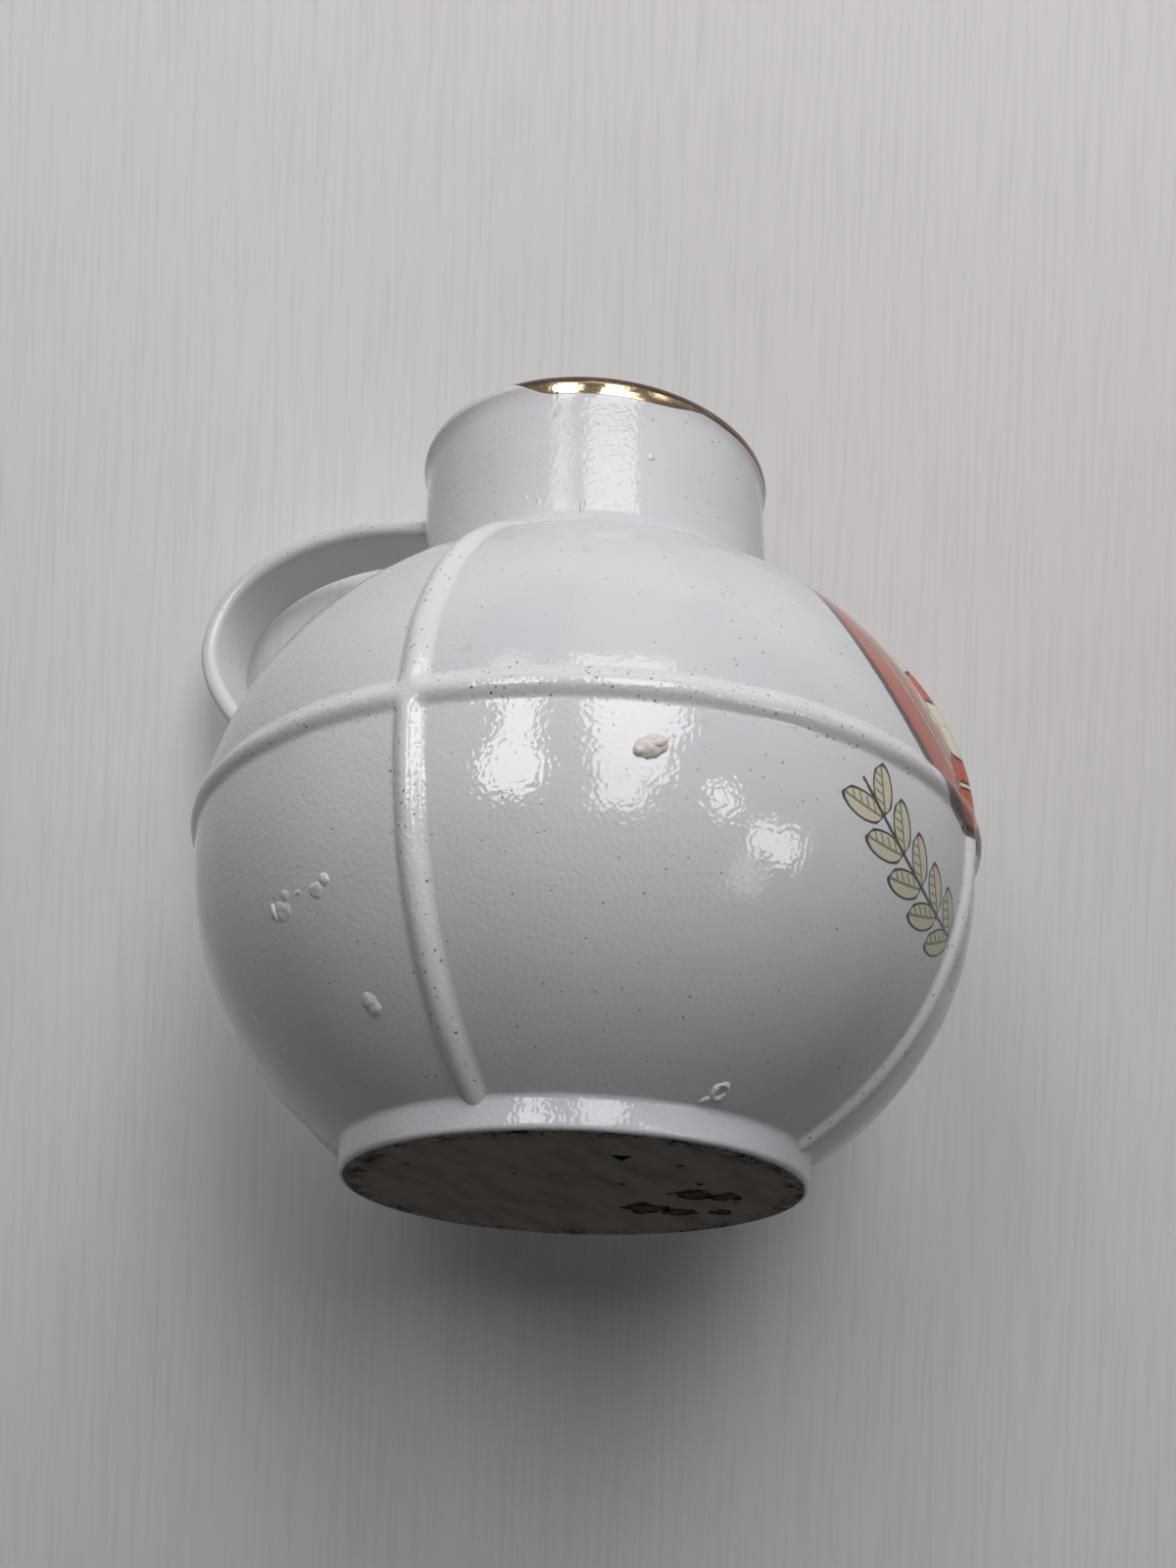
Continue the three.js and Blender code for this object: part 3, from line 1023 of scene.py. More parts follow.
def glaze_finish(name, sizes, colours, printed=False, gilded=False):
    """White glaze with an orange-peel skin, iron specks and thin warm crests."""
    finish = Finish(name)
    settings = {"attribute_name": "crest", "attribute_type": "GEOMETRY"}
    crest = finish.add("ShaderNodeAttribute", settings, out="Fac")
    pooled = finish.step(finish.noise(finish.place, CLOUD_SCALE, 3.0), 0.4, 0.7) * 0.55
    low = 1.0 - finish.step(finish.z, *POOL_HEIGHTS)
    tint = finish.mix(pooled.most(low * 0.8), colours.glaze, colours.glaze_shade)
    tint = finish.mix(crest * 0.75, tint, colours.crest)
    if printed:
        tint = print_design(finish, sizes, colours, tint)
    smudge, smudge_tone = finish.specks(*SMUDGES)
    tint = finish.mix(smudge * smudge_tone * 0.4, tint, colours.smudge)
    few, few_tone = finish.specks(*FEW_SPECKS)
    many, many_tone = finish.specks(*CREST_SPECKS)
    dots = few.most(many * finish.step(crest, 0.1, 0.4))
    tones = few_tone.most(many_tone)
    dark = finish.mix(tones, colours.speck, dimmed(colours.speck, SPECK_DIM))
    tint = finish.mix(dots * (0.55 + 0.3 * few_tone), tint, dark)
    height = skin(finish, NECK_SKIN if gilded else 1.0) + dots * SPECK_DEPTH
    height = height + finish.noise(finish.place, CREST_SCALE, 0.5) * crest * CREST_DEPTH
    gloss = GLAZE_GLOSS + finish.noise(finish.place, GLOSS_SCALE, 2.0) * 0.05 + dots * 0.2
    sockets = {"IOR": GLAZE_IOR}
    if gilded:
        thrown = finish.vector("MULTIPLY", finish.place, THROWING_STRETCH)
        height = height + finish.noise(thrown, THROWING_SCALE, 1.0) * THROWING_DEPTH
        gold, dull_and_shade = gilding(finish, sizes)
        cloud = finish.noise(finish.place, WEAR_SCALE, 3.0)
        brushed = finish.vector("MULTIPLY", finish.place, BRUSH_STRETCH)
        streak = finish.noise(brushed, BRUSH_SCALE, 3.0)
        worn = finish.step(cloud * 0.6 + streak * 0.4, 0.56, 0.72)
        # Painted dark reflection on the gold, where it is also dull.
        gold_tint = finish.mix(dull_and_shade * 0.9, colours.gold, colours.gold_dull_and_shade)
        gold = gold * (1.0 - worn * 0.3)
        tint = finish.mix(gold, tint, gold_tint)
        gloss = gloss + gold * (streak * 0.1 + dull_and_shade * 0.15)
        height = height * (1.0 - gold * GOLD_SMOOTHING)
        sockets["Metallic"] = gold
    sockets["Normal"] = finish.bump(height)
    return finish.close(finish.principled(tint, gloss, sockets))


# The flake's grain, and the glaze left on its ridges.
FLAKE_SCALE = 1400.0
FLAKE_GLAZE_SCALE = 800.0
FLAKE_DEPTH = 1.6e-4
FLAKE_IOR = 1.5


def flake_finish(name, colours):
    """A bare crumb of clay with a little glaze on its ridges."""
    finish = Finish(name)
    grain = finish.noise(finish.place, FLAKE_SCALE, 4.0, 0.7)
    patch = finish.step(finish.noise(finish.place, FLAKE_GLAZE_SCALE, 2.0), 0.5, 0.62)
    clay = finish.mix(grain * 0.3, colours.flake, colours.smudge)
    tint = finish.mix(patch * 0.7, clay, colours.glaze)
    sockets = {"Normal": finish.bump(grain * FLAKE_DEPTH), "IOR": FLAKE_IOR}
    return finish.close(finish.principled(tint, 0.5 - patch * 0.3, sockets))


# The foot's own glaze, thin and a little duller.
FOOT_IOR = 1.5
FOOT_GLOSS = 0.06
FOOT_CLOUD_SCALE = 150.0
FOOT_SPECKS = (900.0, 0.08 * MM, 0.6)
# The glaze under the foot stops at this radius, along a ragged line.
GLAZE_STOP = 17.2 * MM
STOP_RAGGED = 0.7 * MM
STOP_SCALE = 900.0
STOP_SOFT = 0.08 * MM
# The bisque's grain, grime along its edge, smears and pits.
BISQUE_GLOSS = 0.9
BISQUE_SCALE = 1600.0
BISQUE_DEPTH = 3e-5
GRIME_OVER = (GLAZE_STOP - 2.4 * MM, GLAZE_STOP - 0.6 * MM)
BLOT_SCALE = 260.0
SMEAR_STRETCH = (1.0, 0.3, 1.0)
SMEAR_SCALE = 420.0
FOOT_PITS = (420.0, 0.26 * MM, 0.4)
PIT_DEPTH = 6e-5
BURN_SCALE = 700.0
# Stains under the foot: x, y and radius in mm.
STAINS = ((3.0, 7.6, 2.0), (4.9, 9.6, 1.5), (8.2, 3.9, 1.8), (10.2, 5.2, 1.4), (8.2, 10.3, 1.0))
# Black chips pointing away from the front: x, y, half width and length in mm.
CHIPS = ((7.2, -8.6, 0.65, 1.5), (9.8, 0.6, 0.3, 0.7), (4.2, -0.8, 0.25, 0.6))
CHIP_DIM = 0.1
SEEN_RIGHT = (math.cos(CAMERA_TURN), math.sin(CAMERA_TURN))


def foot_finish(name, sizes, colours):
    """Bluish glaze round the foot's edge and grimy bisque under it."""
    finish = Finish(name)
    dark = colours.dirt
    x, y, z = finish.x, finish.y, finish.z
    far = finish.from_axis()
    cloud = finish.step(finish.noise(finish.place, FOOT_CLOUD_SCALE, 3.0), 0.3, 0.7)
    white = finish.mix(0.6 + cloud * 0.4, colours.glaze, colours.glaze_shade)
    few, _ = finish.specks(*FOOT_SPECKS)
    white = finish.mix(few * 0.8, white, colours.speck)
    ragged = (finish.noise(finish.place, STOP_SCALE, 3.0) - 0.5) * STOP_RAGGED
    glazed = finish.step(far + ragged * 0.3, GLAZE_STOP - STOP_SOFT, GLAZE_STOP + STOP_SOFT)
    under = (1.0 - glazed) * (z < sizes.foot_height * 0.5)
    grain = finish.noise(finish.place, BISQUE_SCALE, 4.0, 0.7)
    blot = finish.noise(finish.place, BLOT_SCALE, 3.0, 0.6)
    wiped = finish.vector("MULTIPLY", finish.place, SMEAR_STRETCH)
    smear = finish.step(finish.noise(wiped, SMEAR_SCALE, 3.0), 0.4, 0.75)
    clay = finish.mix(grain * 0.1 + smear * 0.3, colours.bisque, dark)
    edge = finish.step(far + ragged * 3.0, *GRIME_OVER)
    edge = edge * finish.step(blot * 0.5 + grain * 0.5, 0.47, 0.6)
    pits, _ = finish.specks(*FOOT_PITS)
    clay = finish.mix(edge.most(pits) * 0.9, clay, dark)
    burn = (finish.noise(finish.place, BURN_SCALE, 3.0, 0.7) - 0.5) * 2.0
    for x_at, y_at, wide in STAINS:
        spread = finish.vector("DISTANCE", finish.place, (x_at * MM, y_at * MM, 0.0), out="Value")
        near = spread / (wide * MM) + burn
        stain = 1.0 - finish.step(near, 0.75, 1.0)
        ring = stain * finish.step(near, 0.35, 0.8)
        clay = finish.mix(stain * 0.75, clay, colours.stain)
        clay = finish.mix(ring * 0.9, clay, dark)
    for x_at, y_at, half, tall in CHIPS:
        aside = (x - x_at * MM) * SEEN_RIGHT[0] + (y - y_at * MM) * SEEN_RIGHT[1]
        away = (y - y_at * MM) * SEEN_RIGHT[0] - (x - x_at * MM) * SEEN_RIGHT[1]
        inside = abs(aside) / (half * MM) + away / (tall * MM)
        inside = inside.most(away / (-0.2 * tall * MM))
        chip = 1.0 - finish.step(inside + burn * 0.25, 0.85, 1.05)
        clay = finish.mix(chip, clay, dimmed(dark, CHIP_DIM))
    sockets = {"Normal": finish.bump(skin(finish, FOOT_SKIN)), "IOR": FOOT_IOR}
    glaze = finish.principled(white, FOOT_GLOSS, sockets)
    relief = finish.bump(grain * BISQUE_DEPTH - pits * PIT_DEPTH)
    matt = finish.principled(clay, BISQUE_GLOSS, {"Normal": relief, "Specular IOR Level": 0.0})
    return finish.close(finish.add("ShaderNodeMixShader", None, {0: under, 1: glaze, 2: matt}))


class Finishes:
    """The jug's materials, each made when it is first asked for."""

    made = {}
    makers = {
        "printed_glaze": lambda s, c: glaze_finish("printed_glaze", s, c, printed=True),
        "white_glaze": lambda s, c: glaze_finish("white_glaze", s, c),
        "foot_glaze": lambda s, c: foot_finish("foot_glaze", s, c),
        "gilded_glaze": lambda s, c: glaze_finish("gilded_glaze", s, c, gilded=True),
        "bare_flake": lambda s, c: flake_finish("bare_flake", c),
    }

    @classmethod
    def get(cls, name, settings):
        """The material of a name."""
        if name not in cls.made:
            cls.made[name] = cls.makers[name](settings.sizes, settings.colours)
        return cls.made[name]


# Faint upright streaks on floor and backdrop: how often they change, and how dark they are.
STREAKS_ACROSS = 2000.0
STREAKS_ALONG = 60.0
STREAK_DIM = 0.94
# Half sizes of the two sheets, and the distances over which they fade out.
BACKDROP_HALF = 0.3
BACKDROP_FADE = (0.16, 0.26)
FLOOR_HALF = 0.6
FLOOR_FADE = (0.2, 0.5)
FLOOR_DROP = 0.05 * MM
TABLE_BEHIND = 30.3 * MM
# The room as light, from below to above.
ROOM_LIGHT = (
    (0.0, (0.016, 0.015, 0.014, 1.0)),
    (0.5, (0.01, 0.01, 0.01, 1.0)),
    (1.0, (0.02, 0.02, 0.02, 1.0)),
)
# What reflections show straight below and above, as shares of the room.
MIRRORED = (0.25, 0.6)
MIRROR_FADE = (-0.4, 0.1)
LAMP_DISTANCE = 0.6
# Name, direction in the camera's right, up and back, width, height and glow.
# Glints show in reflections alone, and fills light the surfaces without being reflected.
LAMPS = (
    ("glint_left_round", (-0.335, 0.47, 0.815), 0.19, 0.19, 4.6),
    ("glint_left_high", (-0.3, 0.715, 0.63), 0.095, 0.19, 5.4),
    ("glint_left_top", (-0.33, 0.85, 0.41), 0.09, 0.1, 2.2),
    ("glint_right_low", (0.15, 0.37, 0.92), 0.14, 0.1, 4.8),
    ("glint_right_mid", (0.19, 0.555, 0.81), 0.22, 0.145, 4.6),
    ("glint_right_high", (0.2, 0.73, 0.65), 0.27, 0.145, 4.7),
    ("glint_right_top", (0.12, 0.87, 0.47), 0.27, 0.12, 3.0),
    ("glint_side_small_round", (0.58, 0.34, 0.74), 0.09, 0.09, 4.2),
    ("glint_side_low", (0.78, 0.13, 0.61), 0.15, 0.1, 4.8),
    ("glint_side_faint", (0.68, -0.03, 0.73), 0.1, 0.12, 1.6),
    ("fill_left", (-0.32, 0.58, 0.75), 0.15, 0.3, 4.2),
    ("fill_right", (0.18, 0.58, 0.79), 0.22, 0.3, 5.4),
    ("fill_top", (0.12, 0.93, 0.34), 0.4, 0.28, 4.5),
    ("fill_side", (0.63, 0.45, 0.63), 0.15, 0.15, 1.6),
    ("fill_under", (0.0, -1.0, 0.03), 0.5, 0.3, 0.3),
    ("fill_back", (-0.46, -0.14, -0.87), 0.4, 0.4, 3.4),
)


def camera_axes():
    """Right, up and forward of the camera, before its roll."""
    c, s = math.cos(CAMERA_TURN), math.sin(CAMERA_TURN)
    cp, sp = math.cos(CAMERA_PITCH), math.sin(CAMERA_PITCH)
    right = Vector((c, s, 0.0))
    forward = Vector((-s * cp, c * cp, sp))
    return right, right.cross(forward), forward


def stage_finish(name, colours, centre, solid, gone):
    """A plain matt ground, seen from its front only and fading out to the backdrop."""
    finish = Finish(name)
    away = finish.vector("DISTANCE", finish.place, centre, out="Value")
    right, up, _ = camera_axes()
    across = finish.vector("DOT_PRODUCT", finish.place, tuple(right), out="Value")
    along = finish.vector("DOT_PRODUCT", finish.place, tuple(up), out="Value")
    place = finish.combine(across * STREAKS_ACROSS, along * STREAKS_ALONG, 0.0)
    grain = finish.step(finish.noise(place, 1.0, 3.0), 0.4, 0.75)
    tint = finish.mix(grain, colours.ground, dimmed(colours.ground, STREAK_DIM))
    ground = finish.principled(tint, 1.0, {"Specular IOR Level": 0.0})
    behind = finish.add("ShaderNodeNewGeometry", out="Backfacing")
    shown = (1.0 - finish.step(away, solid, gone)) * (1.0 - behind)
    clear = finish.add("ShaderNodeBsdfTransparent")
    return finish.close(finish.add("ShaderNodeMixShader", None, {0: shown, 1: clear, 2: ground}))


def add_camera():
    """The camera from which the jug is mostly seen."""
    right, up, forward = camera_axes()
    c, s = math.cos(CAMERA_ROLL), math.sin(CAMERA_ROLL)
    columns = (right * c + up * s, up * c - right * s, -forward)
    data = bpy.data.cameras.new("camera")
    data.lens = CAMERA_LENS
    data.sensor_width = SENSOR
    data.clip_start, data.clip_end = CAMERA_CLIP
    camera = new_object("camera", data)
    turn_to = Matrix(columns).transposed().to_4x4()
    x, y = math.sin(CAMERA_TURN), -math.cos(CAMERA_TURN)
    place = Vector((CAMERA_DISTANCE * x, CAMERA_DISTANCE * y, CAMERA_HEIGHT))
    camera.matrix_world = Matrix.Translation(place) @ turn_to
    bpy.context.scene.camera = camera


def add_sheet(name, centre, normal, up, size, material, mirrored):
    """A flat stage sheet that faces along its normal."""
    side = up.cross(normal)
    signs = ((-1, -1), (1, -1), (1, 1), (-1, 1))
    corners = [centre + side * (a * size) + up * (b * size) for a, b in signs]
    mesh = bpy.data.meshes.new(name)
    mesh.from_pydata([tuple(corner) for corner in corners], [], [(0, 1, 2, 3)])
    mesh.materials.append(material)
    sheet = new_object(name, mesh)
    sheet.visible_diffuse = False
    sheet.visible_glossy = mirrored
    sheet.visible_transmission = False
    sheet.visible_shadow = False


def add_lamp(name, way, aim, width, height, glow):
    """A glint or fill, round or rectangular by its name, that shines onto a point."""
    data = bpy.data.lights.new(name, "AREA")
    data.shape = "ELLIPSE" if name.endswith("round") else "RECTANGLE"
    data.size = width
    data.size_y = height
    data.energy = glow * math.pi * width * height
    lamp = new_object(name, data)
    way = Vector(way).normalized()
    lamp.location = aim + way * LAMP_DISTANCE
    lamp.rotation_mode = "QUATERNION"
    lamp.rotation_quaternion = way.to_track_quat("Z", "Y")
    lamp.visible_camera = False
    lamp.visible_glossy = name.startswith("glint")
    lamp.visible_diffuse = name.startswith("fill")


def add_world(colours):
    """Pale to the eye and in reflections; as light, bright above and dim below."""
    world = bpy.data.worlds.new("soft_room")
    world.use_nodes = True
    tree = world.node_tree
    tree.nodes.clear()
    room = Tree(tree.nodes, tree.links)
    way = room.add("ShaderNodeTexCoord", out="Generated")
    _, _, rise = room.axes(way)
    light = room.add("ShaderNodeValToRGB", {"stops": ROOM_LIGHT}, {0: rise * 0.5 + 0.5})
    seen = room.add("ShaderNodeLightPath", out="Is Camera Ray")
    low, high = (dimmed(colours.room, share) for share in MIRRORED)
    mirrored = room.mix(room.step(rise, *MIRROR_FADE), low, high)
    tint = room.mix(seen["Is Glossy Ray"], light, mirrored)
    tint = room.mix(seen.most(seen["Is Transmission Ray"]), tint, colours.room)
    shader = room.add("ShaderNodeBackground", None, {"Color": tint, "Strength": 1.0})
    room.add("ShaderNodeOutputWorld", None, {"Surface": shader})
    bpy.context.scene.world = world


class MILK_JUG_OT_stage(bpy.types.Operator):
    """Set the camera, the lamps, the room, the floor and the backdrop"""

    bl_idname = "milk_jug.stage"
    bl_label = "Stage"

    def execute(self, context):
        settings = context.scene.milk_jug
        colours = settings.colours
        girth = Vector((0.0, 0.0, settings.sizes.girth_height))
        right, up, forward = camera_axes()
        add_camera()
        add_world(colours)
        table = girth + forward * TABLE_BEHIND
        paint = stage_finish("backdrop", colours, table, *BACKDROP_FADE)
        add_sheet("backdrop", table, -forward, up, BACKDROP_HALF, paint, True)
        low = Vector((0.0, 0.0, -FLOOR_DROP))
        paint = stage_finish("floor", colours, low, *FLOOR_FADE)
        upright, depth = Vector((0.0, 0.0, 1.0)), Vector((0.0, 1.0, 0.0))
        add_sheet("floor", low, upright, depth, FLOOR_HALF, paint, False)
        for name, (side, high, near), width, height, glow in LAMPS:
            way = right * side + up * high - forward * near
            add_lamp(name, way, girth, width, height, glow)
        bpy.context.scene.view_settings.view_transform = "Standard"
        return {"FINISHED"}


# Steps along the profiles and in their rounded corners.
BODY_STEPS = 150
HOLLOW_STEPS = 60
NECK_STEPS = 40
ROUND_STEPS = 8
FINE_ROUND_STEPS = 12
# Run of the shoulder's curve into the neck, and of the neck's flare under the gilding.
SHOULDER_RUN = 1.25 * MM
FLARE_LENGTH = 1.6 * MM
# Rounds of the foot's edge, the bulge of its wall, and how it laps onto the belly.
FOOT_ROUND = 0.45 * MM
FOOT_ROUND_UP = 0.3 * MM
FOOT_EASE = 0.02 * MM
FOOT_BULGE = 0.06 * MM
FOOT_MEET = 0.18 * MM
FOOT_FILLET = 0.15 * MM
FOOT_LAP = 0.02 * MM
FOOT_SEAT = (1.2 * MM, 2.2 * MM)
FOOT_SEAT_DROP = 0.1 * MM
LIP_FLAT = 0.5 * MM
LIP_BULGE = 0.05 * MM


def belly_profile(sizes):
    """The shell's section from its base on the axis, over the outside, to its floor."""
    outer = Outline(sizes)
    inner = Outline(sizes, sizes.wall)
    bore = sizes.neck_radius - sizes.wall
    base = sizes.foot_height
    shoulder = outer.angle_at_radius(sizes.neck_radius, True)
    before = outer.angle_at_radius(sizes.neck_radius + SHOULDER_RUN, True)
    body = outer.run(outer.angle_at_height(base), before, BODY_STEPS)
    corner = outer.point(shoulder)
    top = (sizes.neck_radius, sizes.neck_start)
    hollow = inner.run(
        inner.angle_at_radius(bore, True), inner.angle_at_height(sizes.floor_height), HOLLOW_STEPS
    )
    return [
        (0.0, base),
        (body[0][0] * 0.5, base),
        *body,
        *fillet(corner, body[-1], top, ROUND_STEPS),
        top,
        (bore, sizes.neck_start),
        *hollow,
        (hollow[-1][0] * 0.5, sizes.floor_height),
        (0.0, sizes.floor_height),
    ]


def foot_profile(sizes):
    """The disc's section, its wall flowing into the belly above it."""
    radius, top = sizes.foot_radius, sizes.foot_height
    outline = Outline(sizes)
    meet = top + FOOT_MEET
    join = meet + FOOT_FILLET
    end = (outline.radius_at(join) + FOOT_LAP, join)
    start = (radius - FOOT_ROUND, FOOT_EASE)
    rise = (radius + FOOT_BULGE / 2, top - FOOT_ROUND_UP)
    return [
        (0.0, 0.0),
        (radius * 0.5, 0.0),
        (radius - FOOT_ROUND * 1.6, 0.0),
        start,
        *fillet((radius - FOOT_EASE, FOOT_EASE), start, (radius, FOOT_ROUND), ROUND_STEPS),
        (radius, FOOT_ROUND),
        (radius + FOOT_BULGE, top * 0.5),
        *fillet((radius, meet), rise, end, FINE_ROUND_STEPS),
        end,
        (end[0] - FOOT_SEAT[0], join),
        (end[0] - FOOT_SEAT[1], top - FOOT_SEAT_DROP),
        (0.0, top - FOOT_SEAT_DROP),
    ]


def neck_profile(sizes, bore):
    """The tube's section, flaring a little under the gilding."""
    outside = []
    for height in np.linspace(sizes.neck_start, sizes.gilt_start, NECK_STEPS):
        share = max(0.0, (height - sizes.gilt_start) / FLARE_LENGTH + 1.0)
        flare = (sizes.lip_radius - sizes.neck_radius) * share * share
        outside.append((sizes.neck_radius + flare, height))
    return [
        (bore, sizes.neck_start),
        *outside,
        (bore, sizes.gilt_start),
        (bore, sizes.neck_start),
    ]


def lip_profile(sizes, bore):
    """The lip's section, round over its top."""
    start, top, out = sizes.gilt_start, sizes.lip_height, sizes.lip_radius
    middle = (bore + out) / 2
    ridge = (middle + LIP_FLAT, top), (middle - LIP_FLAT, top)
    outer = fillet((out + LIP_BULGE, top), (out, start), ridge[0], FINE_ROUND_STEPS)
    inner = fillet((bore, top), ridge[1], (bore, start), FINE_ROUND_STEPS)
    return [
        (bore, start),
        (out, start),
        *outer,
        *ridge,
        *inner,
        (bore, start),
    ]


class MILK_JUG_OT_turned(bpy.types.Operator):
    """Turn the belly, the foot, the neck and the gilded lip"""

    bl_idname = "milk_jug.turned"
    bl_label = "Turned pieces"

    def execute(self, context):
        settings = context.scene.milk_jug
        sizes = settings.sizes
        form = turned_form()
        bore = sizes.neck_radius - sizes.wall
        pieces = (
            ("belly_shell", belly_profile(sizes), 0, "printed_glaze", "belly", GLAZE_SLOT),
            ("foot_disc", foot_profile(sizes), 0, "foot_glaze", "foot", FOOT_SLOT),
            ("neck_tube", neck_profile(sizes, bore), 1, "gilded_glaze", "neck", GLAZE_SLOT),
            ("lip_ring", lip_profile(sizes, bore), 1, "gilded_glaze", "gilt_lip", GILT_SLOT),
        )
        for name, profile, leaning, finish, node, slot in pieces:
            paint = Finishes.get(finish, settings)
            piece = turn(form, name, profile, sizes, settings.turned_steps, paint, leaning)
            settle(piece, node)
        return {"FINISHED"}


class MILK_JUG_OT_bands(bpy.types.Operator):
    """Raise the ribs and the girth on the belly"""

    bl_idname = "milk_jug.bands"
    bl_label = "Ribs and girth"

    def execute(self, context):
        settings = context.scene.milk_jug
        sizes = settings.sizes
        outline = Outline(sizes)
        paint = Finishes.get("printed_glaze", settings)
        common = {
            **belly_values(sizes),
            "Half Width": sizes.band_half_width,
            "Relief": sizes.band_relief,
            "Sink": SINK,
            "Material": paint,
        }

        def raise_band(form, node, values):
            """Shapes one band and sets it in place of its imported node."""
            name = f"{node}_band"
            piece = form.shape(name, bpy.data.meshes.new(name), {**common, **values})
            settle(piece, node)

        rib, girth = rib_form(), girth_form()
        below, above = (
            outline.angle_at_height(sizes.lower_root + gap) for gap in (-ROOT_GAP, ROOT_GAP)
        )
        ribs = (
            ("rib_front", -QUARTER, RIB_LOW, RIB_HIGH),
            ("rib_right", 0.0, RIB_LOW, RIB_HIGH),
            ("rib_rear", QUARTER, RIB_LOW, RIB_HIGH),
            ("rib_handle_lower", math.pi, RIB_LOW, below),
            ("rib_handle_upper", math.pi, above, RIB_HIGH),
        )
        for node, around, low, high in ribs:
            steps = max(LEAST_STEPS, round(abs(high - low) * STEPS_PER_RADIAN))
            values = {"Turn": around, "From Angle": low, "To Angle": high, "Steps Along": steps}
            raise_band(rib, node, values)
        gap = sizes.band_half_width / sizes.belly_radius - ARC_OVERLAP
        arcs = (
            ("girth_front_right", -QUARTER),
            ("girth_rear_right", 0.0),
            ("girth_rear_left", QUARTER),
            ("girth_front_left", math.pi),
        )
        for node, start in arcs:
            low, high = start + gap, start + QUARTER - gap
            values = {"From Angle": low, "To Angle": high, "Steps Along": ARC_STEPS}
            raise_band(girth, node, values)
        return {"FINISHED"}


class MILK_JUG_OT_handle(bpy.types.Operator):
    """Bend the strap handle and blend its two roots into the walls"""

    bl_idname = "milk_jug.handle"
    bl_label = "Handle"

    def execute(self, context):
        settings = context.scene.milk_jug
        sizes = settings.sizes
        paint = Finishes.get("white_glaze", settings)
        values = {
            "Width": sizes.strap_width,
            "Thickness": sizes.strap_thickness,
            "Rounding": sizes.strap_round,
            "Material": paint,
        }
        name = "handle_strap"
        strap = strap_form().shape(name, chain(name, handle_path(sizes)), values)
        settle(strap, "handle")
        outline = Outline(sizes)
        upper, lower = handle_roots(sizes)

        def neck_wall(point):
            """How far a point lies outside the leaning neck."""
            share = (point[2] - sizes.neck_start) / (sizes.lip_height - sizes.neck_start)
            shift = LEAN_SHIFT * min(max(share, 0.0), 1.0)
            x = point[0] - shift * math.cos(LEAN_TURN)
            y = point[1] - shift * math.sin(LEAN_TURN)
            return math.hypot(x, y) - sizes.neck_radius

        def belly_wall(point):
            """How far a point lies outside the belly."""
            return math.hypot(point[0], point[1]) - outline.radius_at(point[2])

        collars = (
            ("handle_upper_collar", "handle_upper_slip", upper, neck_wall),
            ("handle_lower_collar", "handle_lower_slip", lower, belly_wall),
        )
        for name, node, (root, way), wall in collars:
            piece = loft(name, collar_rows(root, way, wall, sizes), paint)
            settle(piece, node)
        return {"FINISHED"}


# A lump is the cap of a ball that is sunk by this share of its depth.
LUMP_SINK = 0.6
LUMP_SHOWN = math.sqrt(1.0 - LUMP_SINK**2)
LUMP_DETAIL = 4
# Half the height in mm over which the wall's slope is taken.
SLOPE_STEP = 0.05
# How far noise pushes the surface of lumps and flake, and its scale.
LUMP_ROUGHNESS = (0.22 * MM, 1700.0)
FLAKE_ROUGHNESS = (0.3 * MM, 2000.0)
# Azimuth in degrees, height, half width, half height and stand in mm, and spin in degrees.
GLAZE_LUMPS = (
    (-115.1, 13.9, 0.28, 0.66, 0.2, 8),
    (-113.4, 13.75, 0.95, 0.72, 0.1, 0),
    (-112.2, 14.6, 0.5, 0.4, 0.07, 30),
    (-109.4, 14.5, 0.36, 0.3, 0.06, 25),
    (-105.9, 14.35, 0.62, 0.58, 0.13, -10),
    (-104.0, 14.85, 0.42, 0.46, 0.14, -20),
    (-102.5, 7.6, 0.68, 0.66, 0.2, 0),
    (-102.1, 7.2, 0.6, 0.6, 0.2, 35),
    (-133.5, 9.08, 0.36, 0.36, 0.08, 0),
    (-38.9, 2.75, 0.45, 0.22, 0.12, 40),
    (-80.4, 60.6, 0.5, 0.9, 0.12, -8),
    (-82.6, 61.2, 0.3, 0.5, 0.1, 20),
    (-78.2, 59.4, 0.25, 0.45, 0.1, -25),
    (-71.9, 51.2, 0.24, 0.8, 0.14, -6),
    (-51.2, 56.5, 0.36, 0.36, 0.12, 0),
    (-90.2, 52.4, 0.25, 0.3, 0.07, 0),
    (-85.9, 51.9, 0.25, 0.3, 0.07, 0),
)
CLAY_FLAKE = (
    (-59.7, 21.85, 1.2, 0.78, 0.34, 22),
    (-58.9, 22.1, 0.72, 0.5, 0.42, 30),
    (-60.8, 21.55, 0.6, 0.5, 0.3, 12),
)
# A burst bubble: a ring of small lumps about its azimuth and height, in degrees and mm.
BUBBLE = (-36.9, 3.25)
BUBBLE_RADIUS = 0.48
BUBBLE_SQUASH = 0.75
BUBBLE_LUMP = 0.17
BUBBLE_SWELL = 0.07
BUBBLE_SWELLS = 3
BUBBLE_LUMPS = 18


